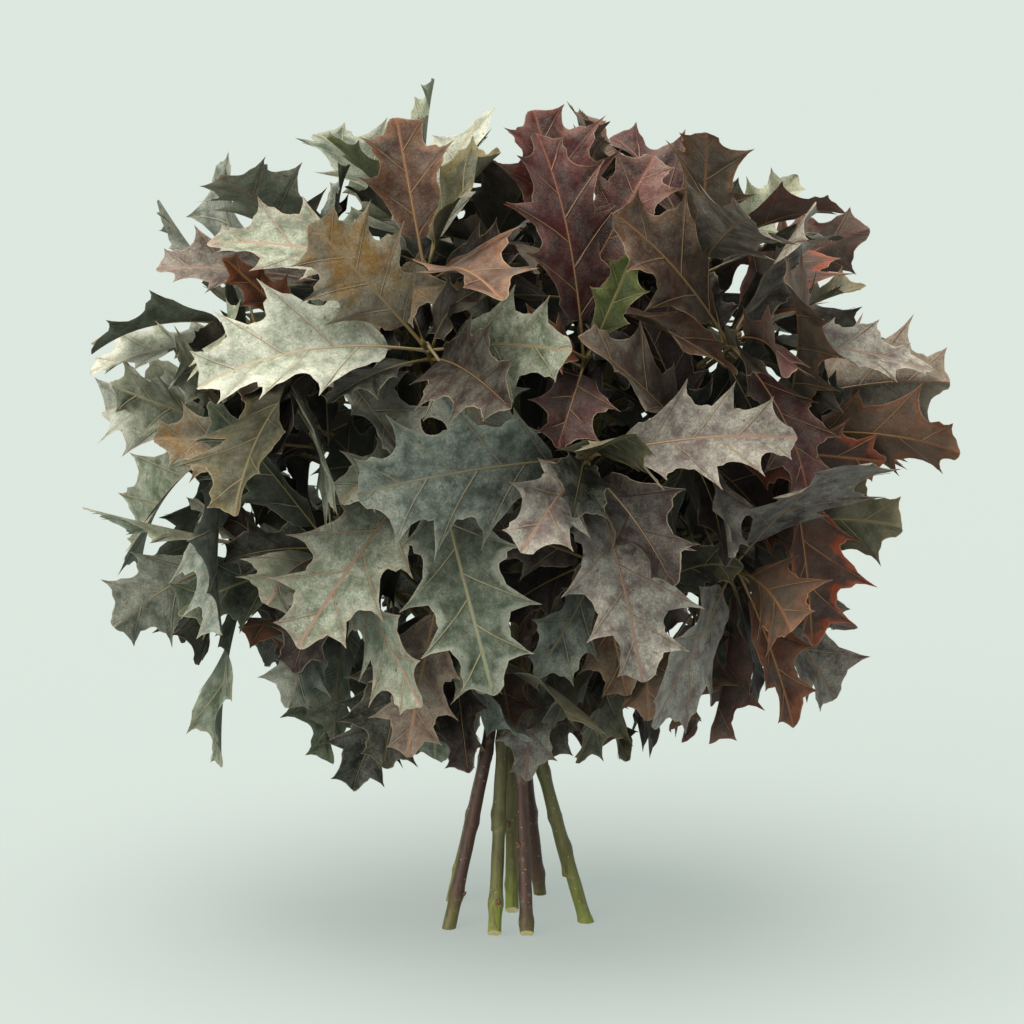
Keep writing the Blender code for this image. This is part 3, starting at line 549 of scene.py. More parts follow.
def laid_out_shoots():
    """Every side shoot on the path that its solid has."""
    shoots = []
    for row_index, row in enumerate(ROWS):
        for index in range(row.count):
            place, facing = whorl_place(row, index)
            down = unit(facing * facing[2] - np.array((0, 0, 1.0)))
            spin = math.radians(WHORL_SPIN * len(shoots))
            side = down * math.cos(spin) + np.cross(facing, down) * math.sin(spin)
            name = f"shoot_{len(shoots) + 1:02d}"
            tree = node_points(name)
            for stem, path in candidate_paths(row_index, index, place, facing):
                shoot = Shoot(name, row_index, index, stem, path, facing, side, row.leaf_length, row.sag)
                along = unit(path[1] - path[0])
                first = whorl_side(shoot, -math.pi / SHOOT_SIDES)
                first = unit(first - along * np.dot(first, along))
                if found(tree, path[0] + first * SHOOT_RADIUS):
                    break
            else:
                raise RuntimeError(f"{name} lies on none of its paths")
            shoots.append(shoot)
    return shoots


def settled_leaves(shoot):
    """The shoot's leaves as its solid has them, each with its frames and its look."""
    tree = node_points(shoot.name)
    leaves = []
    for planned, look in whorl_leaves(shoot):
        for leaf in settlings(planned, SIZES, SWINGS, LIFTS):
            frames = leaf_frames(shoot, leaf)
            if found(tree, blade_points(leaf, frames, 1.0, 0.0)):
                if shoot.name in SLENDER_SHOOTS and leaf.face_index == 0:
                    leaf = leaf._replace(width=leaf.width * SLENDER_SHARE)
                leaves.append((leaf, frames, look))
                break
    return leaves


# ---- Small inner leaves, which fill the head ----


def leaf_sheet(leaf, frames, lift=0.0):
    """The blade as a coarse sheet, to keep inner leaves clear of the others."""
    rows = 4 * leaf.lobes
    along = np.arange(1, rows)[:, None] / rows
    columns = np.linspace(-1, 1, 5)
    points = blade_points(leaf, frames, along, columns, lift).reshape(-1, 3)
    faces = []
    for row in range(rows - 2):
        for column in range(len(columns) - 1):
            first = row * len(columns) + column
            faces.append((first, first + 1, first + 1 + len(columns), first + len(columns)))
    return points, faces


class Crowd:
    """Every leaf placed so far, and whether a new one would cut through it."""

    def __init__(self):
        self.sheets = []

    def clear(self, points, faces):
        low, high = points.min(axis=0), points.max(axis=0)
        if low[2] < LOWEST_LEAF or (low < cad_low).any() or (high > cad_high).any():
            return False
        tree = None
        for other_low, other_high, other in self.sheets:
            if (low > other_high).any() or (high < other_low).any():
                continue
            tree = tree or BVHTree.FromPolygons([Vector(p) for p in points], faces)
            if tree.overlap(other):
                return False
        return True

    def add(self, points, faces):
        tree = BVHTree.FromPolygons([Vector(p) for p in points], faces)
        self.sheets.append((points.min(axis=0), points.max(axis=0), tree))


def lower_whorl(shoot):
    """A second, hidden whorl further back on the same shoot."""
    joint = len(shoot.path) - 3
    facing = unit(shoot.path[joint] - shoot.path[joint - 1])
    side = unit(shoot.side - facing * np.dot(shoot.side, facing))
    return shoot._replace(path=shoot.path[: joint + 1], facing=facing, side=side)


def filler_leaves(shoot, crowd):
    """Small leaves low on the shoot, wherever the others leave room."""
    draw = random.Random(f"{SEED}, inside {shoot.name}")
    whorl = lower_whorl(shoot)
    leaves = []
    for face in (0, 3, 1, 4, 2, 5)[:FILLER_LEAVES]:
        planned = grown_leaf(whorl, face, draw)
        planned = planned._replace(opening=math.radians(draw.uniform(*FILLER_OPENING)))
        look = draw.choice(DARK_LOOKS)
        for leaf in settlings(planned, FILLER_SIZES, FILLER_SWINGS, FILLER_LIFTS):
            frames = leaf_frames(whorl, leaf)
            sheet = leaf_sheet(leaf, frames)
            if crowd.clear(*sheet):
                crowd.add(*sheet)
                leaves.append((leaf, frames, look))
                break
    return leaves


def neck_leaves(crowd):
    """Drooping leaves that spring from the ring stems just above the tie and hang over it."""
    draw = random.Random(f"{SEED}, neck")
    leaves = []
    for stem in range(1, RING_STEMS + 1):
        height = TIE_HEIGHT + draw.uniform(*NECK_LEAF_RISE)
        spot = stem_point(stem, height)
        out = unit(spot * (1, 1, 0))
        facing = unit(out + np.array((0, 0, NECK_LEAF_UPTURN)))
        side = unit(facing * facing[2] - np.array((0, 0, 1.0)))
        end = spot + out * stem_radius(height) * 0.8 + facing * WHORL_STEP * 1.5
        end = end - side * SHOOT_RADIUS * 0.8
        whorl = Shoot("neck", 0, stem, stem, [end], facing, side, NECK_LEAF_LENGTH, NECK_LEAF_SAG)
        planned = grown_leaf(whorl, 0, draw)
        for leaf in settlings(planned, NECK_LEAF_SIZES, NECK_LEAF_SWINGS, FILLER_LIFTS):
            frames = leaf_frames(whorl, leaf)
            sheet = leaf_sheet(leaf, frames)
            if crowd.clear(*sheet):
                crowd.add(*sheet)
                leaves.append((leaf, frames))
                break
    return leaves


# ---- Small helpers ----

MATH = "ShaderNodeMath"
RANGE = "ShaderNodeMapRange"
MIX = "ShaderNodeMix"
NOISE = "ShaderNodeTexNoise"
BUMP = "ShaderNodeBump"
ATTRIBUTE = "ShaderNodeAttribute"
PLACE = "ShaderNodeTexCoord"
TIMES = {"operation": "MULTIPLY"}
PLUS = {"operation": "ADD"}
SMOOTH = {"interpolation_type": "SMOOTHSTEP"}
COLOUR = {"data_type": "RGBA"}


def linear(colour):
    """An sRGB hex colour as linear red, green, blue and alpha."""
    parts = [int(colour[i : i + 2], 16) / 255 for i in (1, 3, 5)]
    return (*(p / 12.92 if p <= 0.04045 else ((p + 0.055) / 1.055) ** 2.4 for p in parts), 1.0)


def set_input(tree, socket, value):
    """Links one output, or a list of them, to the socket, or sets its value. None leaves it alone."""
    for one in value if isinstance(value, list) else [value]:
        if isinstance(one, bpy.types.NodeSocket):
            tree.links.new(one, socket)
        elif one is not None:
            socket.default_value = one


def add_node(tree, kind, *inputs, output=0, **settings):
    """Adds a node with its settings and its open inputs in turn, and gives one of its outputs."""
    node = tree.nodes.new(kind)
    for name, value in settings.items():
        setattr(node, name, value)
    for socket, value in zip([socket for socket in node.inputs if socket.enabled], inputs):
        set_input(tree, socket, value)
    outputs = [socket for socket in node.outputs if socket.enabled]
    return node.outputs[output] if isinstance(output, str) else outputs[output]


def start_material(name):
    made = bpy.data.materials.new(name)
    made.use_nodes = True
    return made, made.node_tree


def finish_surface(tree, **inputs):
    """Sets the inputs of the material's shader by name."""
    for name, value in inputs.items():
        set_input(tree, tree.nodes["Principled BSDF"].inputs[name.replace("_", " ")], value)


# ---- Materials ----

# Sizes of the patterns on a leaf, in metres.
BLOTCH = 0.019
EDGE_TONGUE = 0.007
TONGUE_REACH = 0.011
EDGE_FROM, EDGE_TO = 0.001, -0.004
SMALLEST_VEINS = 0.0022
BLOOM_PATCH = 0.010
BLOOM_POWDER = 0.0011
RIB_FROM, RIB_TO = 0.0012, 0.0006
SPECK = 0.0034
# The pale rim is a painted highlight along each leaf's margin.
HIGHLIGHT_RIM_FROM, HIGHLIGHT_RIM_TO = 0.00075, 0.00025
LEAF_GRAIN = 0.003
LEAF_RELIEF = 0.0005
# How far from a side vein's middle, as a share of a lobe, the vein and the dark beside it reach.
VEIN_FROM, VEIN_TO = 0.035, 0.012
BESIDE_FROM, BESIDE_TO = 0.16, 0.03


def oak_leaf_blade(name, roughness):
    """Autumn oak leaf: leathery and half matt, blotched as it turns, with pale veins that stand up,
    a thin pale rim that is a painted highlight, and a mottled powdery bloom that scatters light."""
    made, tree = start_material(name)
    place = add_node(tree, PLACE, output="Object")
    names = ("leaf_seed", "across", "lobe_count", "to_margin", "to_rib", "bloom", "underside")
    rows = [add_node(tree, ATTRIBUTE, output="Fac", attribute_name=name) for name in names]
    seed, across, along, to_margin, to_rib, bloom, under = rows
    names = ("blade_colour", "blotch_colour", "edge_colour", "vein_colour")
    rows = [add_node(tree, ATTRIBUTE, output="Color", attribute_name=name) for name in names]
    blade_colour, blotch_colour, edge_colour, vein_colour = rows
    shifted = add_node(tree, "ShaderNodeVectorMath", place, seed, **PLUS)

    grain = add_node(tree, NOISE, shifted, 1 / BLOTCH, 3.0, 0.55)
    blotch = add_node(tree, RANGE, grain, 0.36, 0.64, 0.0, 1.0, **SMOOTH)
    colour = add_node(tree, MIX, blotch, blade_colour, blotch_colour, **COLOUR)

    # The edge turns first, in tongues that run in from the margin.
    grain = add_node(tree, NOISE, shifted, 1 / EDGE_TONGUE, 2.0, 0.55)
    tongue = add_node(tree, MATH, grain, TONGUE_REACH, **TIMES)
    inward = add_node(tree, MATH, to_margin, tongue, operation="SUBTRACT")
    edge = add_node(tree, RANGE, inward, EDGE_TO, EDGE_FROM, 1.0, 0.0, **SMOOTH)
    edge = add_node(tree, MATH, edge, 0.75, **TIMES)
    colour = add_node(tree, MIX, edge, colour, edge_colour, **COLOUR)

    # A fine net of the smallest veins.
    voronoi = "ShaderNodeTexVoronoi"
    cells = add_node(tree, voronoi, shifted, 1 / SMALLEST_VEINS, feature="DISTANCE_TO_EDGE")
    net = add_node(tree, RANGE, cells, 0.0, 0.10, 1.0, 0.0, **SMOOTH)
    share = add_node(tree, MATH, net, 0.25, **TIMES)
    colour = add_node(tree, MIX, share, colour, linear("#241d17"), **COLOUR)

    # Bloom: soft patches, broken into powder.
    grain = add_node(tree, NOISE, shifted, 1 / BLOOM_PATCH, 5.0, 0.72)
    patches = add_node(tree, RANGE, grain, 0.34, 0.66, 0.0, 1.0, **SMOOTH)
    grain = add_node(tree, NOISE, shifted, 1 / BLOOM_POWDER, 3.0, 0.7)
    powder = add_node(tree, RANGE, grain, 0.34, 0.66, 0.0, 1.0, **SMOOTH)
    powder = add_node(tree, MATH, add_node(tree, MATH, powder, 0.6, **TIMES), 0.4, **PLUS)
    powdered = add_node(tree, MATH, patches, powder, **TIMES)
    dusting = add_node(tree, MATH, powdered, bloom, **TIMES)
    share = add_node(tree, MATH, dusting, 0.58, **TIMES)
    colour = add_node(tree, MIX, share, colour, linear("#bcc1b4"), **COLOUR)

    # Side veins run from the midrib forward to each lobe's tip.
    right = add_node(tree, MATH, across, 0.0, operation="GREATER_THAN")
    size = add_node(tree, MATH, across, operation="ABSOLUTE")
    inward = add_node(tree, MATH, 1.0, size, operation="SUBTRACT")
    lean = add_node(tree, MATH, inward, VEIN_LEAN, **TIMES)
    half_lobe = add_node(tree, MATH, right, 0.5, **TIMES)
    count = add_node(tree, MATH, add_node(tree, MATH, along, lean, **PLUS), half_lobe, **PLUS)
    part = add_node(tree, MATH, add_node(tree, MATH, count, 0.5, **PLUS), operation="FRACT")
    part = add_node(tree, MATH, part, 0.5, operation="SUBTRACT")
    off_vein = add_node(tree, MATH, part, operation="ABSOLUTE")
    vein = add_node(tree, RANGE, off_vein, VEIN_TO, VEIN_FROM, 1.0, 0.0, **SMOOTH)
    beside = add_node(tree, RANGE, off_vein, BESIDE_TO, BESIDE_FROM, 1.0, 0.0, **SMOOTH)
    rib = add_node(tree, RANGE, to_rib, RIB_TO, RIB_FROM, 1.0, 0.0, **SMOOTH)
    faint_vein = add_node(tree, MATH, vein, 0.55, **TIMES)
    clear_rib = add_node(tree, MATH, rib, 0.9, **TIMES)
    lines = add_node(tree, MATH, faint_vein, clear_rib, operation="MAXIMUM")
    share = add_node(tree, MATH, beside, 0.16, **TIMES)
    colour = add_node(tree, MIX, share, colour, linear("#2a2019"), **COLOUR)
    colour = add_node(tree, MIX, lines, colour, vein_colour, **COLOUR)

    # Brown specks, then the thin pale rim, a painted highlight along the margin, then the underside,
    # which is paler and greyer.
    grain = add_node(tree, NOISE, shifted, 1 / SPECK, 1.0, 0.55)
    speck = add_node(tree, RANGE, grain, 0.70, 0.76, 0.0, 1.0, **SMOOTH)
    rim = add_node(tree, RANGE, to_margin, HIGHLIGHT_RIM_TO, HIGHLIGHT_RIM_FROM, 1.0, 0.0, **SMOOTH)
    layers = ((speck, 0.55, "#3a2a1f"), (rim, 0.30, "#9d927c"), (under, 0.18, "#6f7062"))
    for mask, strength, tint in layers:
        share = add_node(tree, MATH, mask, strength, **TIMES)
        colour = add_node(tree, MIX, share, colour, linear(tint), **COLOUR)

    # Relief: the side veins stand up, the blade sinks beside them, and the net of veins is sunken.
    grain = add_node(tree, NOISE, shifted, 1 / LEAF_GRAIN, 3.0, 0.55)
    height = add_node(tree, MATH, net, -0.25, **TIMES)
    for relief, strength in ((beside, -0.6), (vein, 1.0), (grain, 0.8)):
        height = add_node(tree, MATH, height, add_node(tree, MATH, relief, strength, **TIMES), **PLUS)
    finish_surface(
        tree,
        Base_Color=colour,
        Roughness=add_node(tree, RANGE, dusting, 0.0, 1.0, roughness, 0.88),
        IOR=1.45,
        Specular_IOR_Level=0.22,
        Normal=add_node(tree, BUMP, 0.7, LEAF_RELIEF, None, height),
    )
    return made


def leaf_stalk_skin():
    """Leaf stalks and veins: smooth waxy skin, tan to pale green, each tinged like its leaf."""
    made, tree = start_material("leaf_stalk_skin")
    place = add_node(tree, PLACE, output="Object")
    grain = add_node(tree, NOISE, place, 1 / 0.010, 3.0, 0.55)
    tinge = add_node(tree, RANGE, grain, 0.35, 0.65, 0.0, 1.0, **SMOOTH)
    vein_colour = add_node(tree, ATTRIBUTE, output="Color", attribute_name="vein_colour")
    colour = add_node(tree, MIX, 0.35, vein_colour, linear("#8b7a4a"), **COLOUR)
    share = add_node(tree, MATH, tinge, 0.5, **TIMES)
    colour = add_node(tree, MIX, share, colour, linear("#6d5a35"), **COLOUR)
    skin = add_node(tree, NOISE, place, 1 / 0.0008, 3.0, 0.55)
    bump = add_node(tree, BUMP, 0.4, 0.0002, None, skin)
    finish_surface(tree, Base_Color=colour, Roughness=0.5, IOR=1.45, Normal=bump)
    return made


def living_bark(name, upper, lower, streak, foot_height):
    """Young oak bark: thin, satin and slightly waxy, greener at the foot, with long fine wrinkles,
    grey-brown scuffs and darker streaks."""
    made, tree = start_material(name)
    place = add_node(tree, PLACE, output="Object")
    height = add_node(tree, "ShaderNodeSeparateXYZ", place, output="Z")
    grain = add_node(tree, NOISE, place, 1 / 0.03, 3.0, 0.55)
    wander = add_node(tree, MATH, grain, 0.05, **TIMES)
    height = add_node(tree, MATH, height, wander, **PLUS)
    foot = add_node(tree, RANGE, height, foot_height, foot_height + 0.045, 1.0, 0.0, **SMOOTH)
    colour = add_node(tree, MIX, foot, linear(upper), linear(lower), **COLOUR)
    stretched = add_node(tree, "ShaderNodeMapping", place, None, None, (1.0, 1.0, 0.10))
    wrinkles = add_node(tree, NOISE, stretched, 1 / 0.0009, 4.0, 0.55)
    grain = add_node(tree, NOISE, stretched, 1 / 0.0026, 3.0, 0.55)
    streaks = add_node(tree, RANGE, grain, 0.48, 0.66, 0.0, 1.0, **SMOOTH)
    grain = add_node(tree, NOISE, place, 1 / 0.006, 4.0, 0.65)
    scuffs = add_node(tree, RANGE, grain, 0.56, 0.68, 0.0, 1.0, **SMOOTH)
    layers = (
        (streaks, 0.6, streak, "MIX"),
        (scuffs, 0.35, "#8a8068", "MIX"),
        (wrinkles, 0.3, "#1d1810", "MULTIPLY"),
    )
    for mask, strength, tint, blend in layers:
        share = add_node(tree, MATH, mask, strength, **TIMES)
        colour = add_node(tree, MIX, share, colour, linear(tint), blend_type=blend, **COLOUR)
    finish_surface(
        tree,
        Base_Color=colour,
        Roughness=add_node(tree, RANGE, wrinkles, 0.0, 1.0, 0.36, 0.66),
        IOR=1.46,
        Normal=add_node(tree, BUMP, 0.6, 0.0004, None, wrinkles),
    )
    return made


def speckled_skin(name, light, dark, size, roughness, spread=(0.35, 0.65), relief=(0.6, 0.0003)):
    """Cork, bud scales, dry raffia or the cream wood of a fresh cut: matt plant tissue of two tones,
    with fine fibre relief. Size is of its grain, in metres."""
    made, tree = start_material(name)
    grain = add_node(tree, NOISE, add_node(tree, PLACE, output="Object"), 1 / size, 4.0, 0.55)
    tone = add_node(tree, RANGE, grain, *spread, 0.0, 1.0, **SMOOTH)
    colour = add_node(tree, MIX, tone, linear(dark), linear(light), **COLOUR)
    bump = add_node(tree, BUMP, *relief, None, grain)
    finish_surface(tree, Base_Color=colour, Roughness=roughness, Normal=bump)
    return made


def studio_floor(grey, glow):
    """Matt white studio table, faintly lit from below, with a roller texture about 4 mm across."""
    made, tree = start_material("studio_floor")
    texture = add_node(tree, NOISE, add_node(tree, PLACE, output="Object"), 1 / 0.004, 3.0, 0.55)
    dark = (*(channel * 0.985 for channel in grey[:3]), 1.0)
    finish_surface(
        tree,
        Base_Color=add_node(tree, MIX, texture, grey, dark, **COLOUR),
        Roughness=1.0,
        Specular_IOR_Level=0.0,
        Emission_Color=glow,
        Emission_Strength=1.0,
    )
    return made


# ---- Geometry Nodes: strands, and cork spots ----


def start_node_group(name, *inputs):
    """A node group with geometry in and out, and with these further inputs, each a name and a type."""
    tree = bpy.data.node_groups.new(name, "GeometryNodeTree")
    for label, kind in (("Geometry", "Geometry"), *inputs):
        tree.interface.new_socket(label, in_out="INPUT", socket_type=f"NodeSocket{kind}")
    tree.interface.new_socket("Geometry", in_out="OUTPUT", socket_type="NodeSocketGeometry")
    return tree, tree.nodes.new("NodeGroupInput").outputs


def strand_tree():
    """Turns a mesh's loose lines into tapered tubes, and keeps its faces as they are."""
    materials = ("Strand Material", "Material"), ("Blade Material", "Material")
    tree, given = start_node_group("tapered_strands", ("Sides", "Int"), *materials)
    named = "GeometryNodeInputNamedAttribute"
    is_strand = add_node(tree, named, "is_strand", data_type="BOOLEAN")
    thickness = add_node(tree, named, "strand_radius", data_type="FLOAT")
    lines = add_node(tree, "GeometryNodeSeparateGeometry", given["Geometry"], is_strand, domain="POINT")
    faces = lines.node.outputs["Inverted"]
    line = add_node(tree, "GeometryNodeMeshToCurve", lines)
    ring = add_node(tree, "GeometryNodeCurvePrimitiveCircle", given["Sides"], 1.0, mode="RADIUS")
    tube = add_node(tree, "GeometryNodeCurveToMesh", line, ring, thickness, True)
    tube = add_node(tree, "GeometryNodeSetMaterial", tube, None, given["Strand Material"])
    blade = add_node(tree, "GeometryNodeSetMaterial", faces, None, given["Blade Material"])
    joined = add_node(tree, "GeometryNodeJoinGeometry", [blade, tube])
    whole = add_node(tree, "GeometryNodeRealizeInstances", joined)
    tree.links.new(whole, tree.nodes.new("NodeGroupOutput").inputs[0])
    return tree


def cork_spot_tree():
    """Scatters small raised cork spots over a stem's bark, and keeps the stem."""
    numbers = ("Density", "Float"), ("Spot Size", "Float"), ("Seed", "Int")
    tree, given = start_node_group("cork_spots", *numbers, ("Spot Material", "Material"))
    spread = "GeometryNodeDistributePointsOnFaces"
    points = add_node(tree, spread, given["Geometry"], None, given["Density"], given["Seed"])
    normal = points.node.outputs["Normal"]
    spot = add_node(tree, "GeometryNodeMeshIcoSphere", given["Spot Size"], 2)
    turn = add_node(tree, "FunctionNodeAlignRotationToVector", None, None, normal, axis="Z")
    random_size = "FunctionNodeRandomValue"
    small, large = (0.6, 0.4, 0.25), (1.6, 0.8, 0.45)
    size = add_node(tree, random_size, small, large, None, given["Seed"], data_type="FLOAT_VECTOR")
    placed = add_node(tree, "GeometryNodeInstanceOnPoints", points, None, spot, None, None, turn, size)
    real = add_node(tree, "GeometryNodeRealizeInstances", placed)
    cork = add_node(tree, "GeometryNodeSetMaterial", real, None, given["Spot Material"])
    joined = add_node(tree, "GeometryNodeJoinGeometry", [given["Geometry"], cork])
    tree.links.new(joined, tree.nodes.new("NodeGroupOutput").inputs[0])
    return tree


def grow_with(thing, tree, **inputs):
    """Runs a node tree on an object with its named inputs set, and keeps the result as a plain mesh."""
    modifier = thing.modifiers.new(tree.name, "NODES")
    modifier.node_group = tree
    for item in tree.interface.items_tree:
        if item.in_out == "INPUT" and item.name.replace(" ", "_").lower() in inputs:
            modifier[item.identifier] = inputs[item.name.replace(" ", "_").lower()]
    bpy.context.view_layer.update()
    graph = bpy.context.evaluated_depsgraph_get()
    mesh = bpy.data.meshes.new_from_object(thing.evaluated_get(graph))
    thing.modifiers.remove(modifier)
    thing.data = mesh


# ---- Building meshes from strands and blades ----

Skin = namedtuple("Skin", "look seed tone", defaults=(LEAF_TONE,))


def painted_shade_factor(points):
    """Painted shade: a factor on each point's colours, small deep inside the head and one outside."""
    out = np.linalg.norm((points - np.array(HEAD_CENTRE)) / OUTER_RADII, axis=1)
    share = np.clip((out - SHADE_FROM) / (SHADE_TO - SHADE_FROM), 0, 1)
    return SHADED_SHARE + (1 - SHADED_SHARE) * share * share * (3 - 2 * share)


class Growth:
    """Points, faces, loose lines and their attributes, gathered for one piece."""

    FLOATS = (
        "across", "lobe_count", "to_margin", "to_rib", "bloom", "underside", "leaf_seed", "strand_radius",
    )
    COLOURS = ("blade", "blotch", "edge", "vein")

    def __init__(self):
        self.points = []
        self.faces = []
        self.lines = []
        self.floats = {name: [] for name in self.FLOATS}
        self.colours = {name: [] for name in self.COLOURS}
        self.strand = []
        self.count = 0

    def add(self, points, skin, strand=False, **values):
        points = np.asarray(points, float)
        size = len(points)
        self.points.append(points)
        # Painted shade: colours and bloom darken towards the middle of the head.
        painted_shade = painted_shade_factor(points)
        for name in self.FLOATS:
            given = values.get(name, 0.0)
            if name == "leaf_seed":
                given = skin.seed
            elif name == "bloom":
                given = LOOKS[skin.look].bloom * painted_shade
            self.floats[name].append(np.broadcast_to(np.asarray(given, float), (size,)))
        for name in self.COLOURS:
            colour = [channel * skin.tone for channel in linear(getattr(LOOKS[skin.look], name))]
            self.colours[name].append(np.outer(painted_shade, colour))
        self.strand.append(np.full(size, strand))
        first = self.count
        self.count += size
        return first

    def strand_line(self, points, radii, skin):
        first = self.add(points, skin, strand=True, strand_radius=radii)
        self.lines += [(first + i, first + i + 1) for i in range(len(points) - 1)]

    def mesh(self, name):
        mesh = bpy.data.meshes.new(name)
        mesh.from_pydata(np.concatenate(self.points).tolist(), self.lines, self.faces)
        for label, rows in self.floats.items():
            layer = mesh.attributes.new(label, "FLOAT", "POINT")
            layer.data.foreach_set("value", np.concatenate(rows))
        for label, rows in self.colours.items():
            layer = mesh.attributes.new(f"{label}_colour", "FLOAT_COLOR", "POINT")
            layer.data.foreach_set("color", np.concatenate(rows).reshape(-1))
        layer = mesh.attributes.new("is_strand", "BOOLEAN", "POINT")
        layer.data.foreach_set("value", np.concatenate(self.strand))
        return mesh


def blade_rows(leaf):
    """Places along the blade, close together at the lobes' tips on both sides."""
    halves = 2 * leaf.lobes
    rows = [(half + step * 2) / halves for half in range(halves) for step in HALF_LOBE_STEPS]
    return np.array(rows[1:])


def add_blade(growth, leaf, frames, skin):
    """A closed thin blade: an upper and a lower sheet that share their margin."""
    along = blade_rows(leaf)[:, None]
    across = np.array([-c for c in COLUMNS[:0:-1]] + list(COLUMNS))[None, :]
    right = across > 0
    width = fine_half_width(leaf, along, right)
    swing = np.abs(np.sin(math.pi * (along * leaf.lobes + 0.5 * right)))
    side_sign = 1.0 if skin.seed % 2 < 1 else -1.0
    curl = TIP_CURL * side_sign * (1 - swing) ** 2 * np.abs(across) ** 3 * np.cos(5 * along + skin.seed)
    quilt = QUILTING * np.sin(math.pi * np.abs(across)) * (swing - 0.5)
    middle = curl + quilt
    half = HALF_THICKNESS * (1 - 0.5 * np.abs(across)) + along * 0
    upper = blade_points(leaf, frames, along, across, middle + half, fine_half_width)
    lower = blade_points(leaf, frames, along, across, middle - half, fine_half_width)
    edge_rows = blade_points(leaf, frames, along, across, middle, fine_half_width)
    rim = np.zeros(upper.shape[:2], bool)
    rim[0, :] = rim[:, 0] = rim[:, -1] = True
    upper[rim] = edge_rows[rim]
    rows, columns = rim.shape
    size = np.abs(across) + along * 0
    shared = {
        "across": (across + along * 0).reshape(-1),
        "lobe_count": (along * leaf.lobes + across * 0).reshape(-1),
        "to_margin": (width * (1 - size)).reshape(-1),
        "to_rib": (width * size).reshape(-1),
    }
    top = growth.add(upper.reshape(-1, 3), skin, **shared)
    inner = ~rim.reshape(-1)
    shared = {name: row[inner] for name, row in shared.items()}
    below = growth.add(lower.reshape(-1, 3)[inner], skin, underside=1.0, **shared)
    tip_point = blade_points(leaf, frames, 1.0, 0.0, 0.0, fine_half_width)
    tip = growth.add([tip_point], skin, lobe_count=leaf.lobes, across=0.0)
    upper_index = (top + np.arange(rows * columns)).reshape(rows, columns)
    lower_index = upper_index.copy()
    lower_index[~rim] = below + np.arange(inner.sum())
    for index, flip in ((upper_index, False), (lower_index, True)):
        corners = (index[:-1, :-1], index[:-1, 1:], index[1:, 1:], index[1:, :-1])
        quads = np.stack(corners[::-1] if flip else corners, axis=-1).reshape(-1, 4)
        growth.faces += [tuple(int(i) for i in quad) for quad in quads]
        for column in range(columns - 1):
            pair = (int(index[-1, column]), int(index[-1, column + 1]), tip)
            growth.faces.append(pair[::-1] if flip else pair)


RIB_SHARES = (0, 0.04, 0.15, 0.35, 1.0)  # down the stalk, which ends at 0.15, and the midrib
RIB_RADII = (0.0013, 0.0009, 0.00085, 0.0006, 0.00014)
RIB_RISE = 0.00012
VEIN_RADII = (0.00036, 0.00012)
VEIN_POINTS = 6
FULL_VEIN_WIDTH = 0.006  # side veins are thinner where half the blade is narrower than this


def add_ribs(growth, leaf, frames, skin, with_side_veins):
    """Stalk and midrib as one tapered strand, with a side vein to each lobe."""
    points, normal, _ = frames
    root = points[0] - (points[1] - points[0]) * 0.25
    share = np.linspace(0, 1, STATIONS)
    radii = np.interp(share, RIB_SHARES, RIB_RADII)
    line = points + normal * (RIB_RISE * share[:, None])
    growth.strand_line([root, *line[:-1]], [radii[0], *radii[:-1]], skin)
    if not with_side_veins:
        return
    reach = np.linspace(0.03, 0.93, VEIN_POINTS)
    for side in (-1, 1):
        for lobe in range(1, leaf.lobes + (side > 0)):
            along = (lobe - VEIN_LEAN * (1 - reach) - 0.5 * (side > 0)) / leaf.lobes
            if along[0] <= 0.02 or along[-1] >= 0.99:
                continue
            size = fine_half_width(leaf, along, np.full(VEIN_POINTS, side > 0))
            swing = np.abs(np.sin(math.pi * (along * leaf.lobes + 0.5 * (side > 0))))
            quilt = QUILTING * np.sin(math.pi * reach) * (swing - 0.5)
            vein = blade_points(leaf, frames, along, side * reach, quilt, fine_half_width)
            thick = np.interp(reach, (0, 1), VEIN_RADII)
            thick = thick * min(1.0, float(size[0]) / FULL_VEIN_WIDTH + 0.4)
            growth.strand_line(vein, thick, skin)


def smooth_line(points, step):
    """A Catmull-Rom curve through the points, with a point about every step."""
    points = [np.asarray(p, float) for p in points]
    padded = [2 * points[0] - points[1], *points, 2 * points[-1] - points[-2]]
    line = []
    for i in range(1, len(padded) - 2):
        a, b, c, d = padded[i - 1 : i + 3]
        count = max(1, math.ceil(np.linalg.norm(c - b) / step))
        for t in np.arange(count) / count:
            square, cube = 2 * a - 5 * b + 4 * c - d, 3 * b - a - 3 * c + d
            line.append(0.5 * (2 * b + (c - a) * t + square * t * t + cube * t**3))
    return [*line, points[-1]]


BUD_SHARES = (0.0, 0.15, 0.4, 0.7, 0.9, 1.0)
BUD_GIRTHS = (0.55, 0.95, 1.0, 0.65, 0.3, 0.05)
BUD_LENGTH = 2.6  # in bud radii


def add_bud(growth, base, way, size, skin):
    """A plump pointed bud; its size is its radius."""
    line = [base + way * size * BUD_LENGTH * share for share in BUD_SHARES]
    growth.strand_line(line, [size * girth for girth in BUD_GIRTHS], skin)


SHARP_ANGLE = 62


def piece_from(growth, name, sides, strand_material, blade_material):
    """Turns what has grown into one object with a plain mesh."""
    thing = bpy.data.objects.new(name, growth.mesh(name))
    bpy.context.scene.collection.objects.link(thing)
    grow_with(thing, strands, sides=sides, strand_material=strand_material, blade_material=blade_material)
    thing.data.shade_smooth()
    thing.data.set_sharp_from_angle(angle=math.radians(SHARP_ANGLE))
    return thing


# ---- Scene: camera, light and floor ----

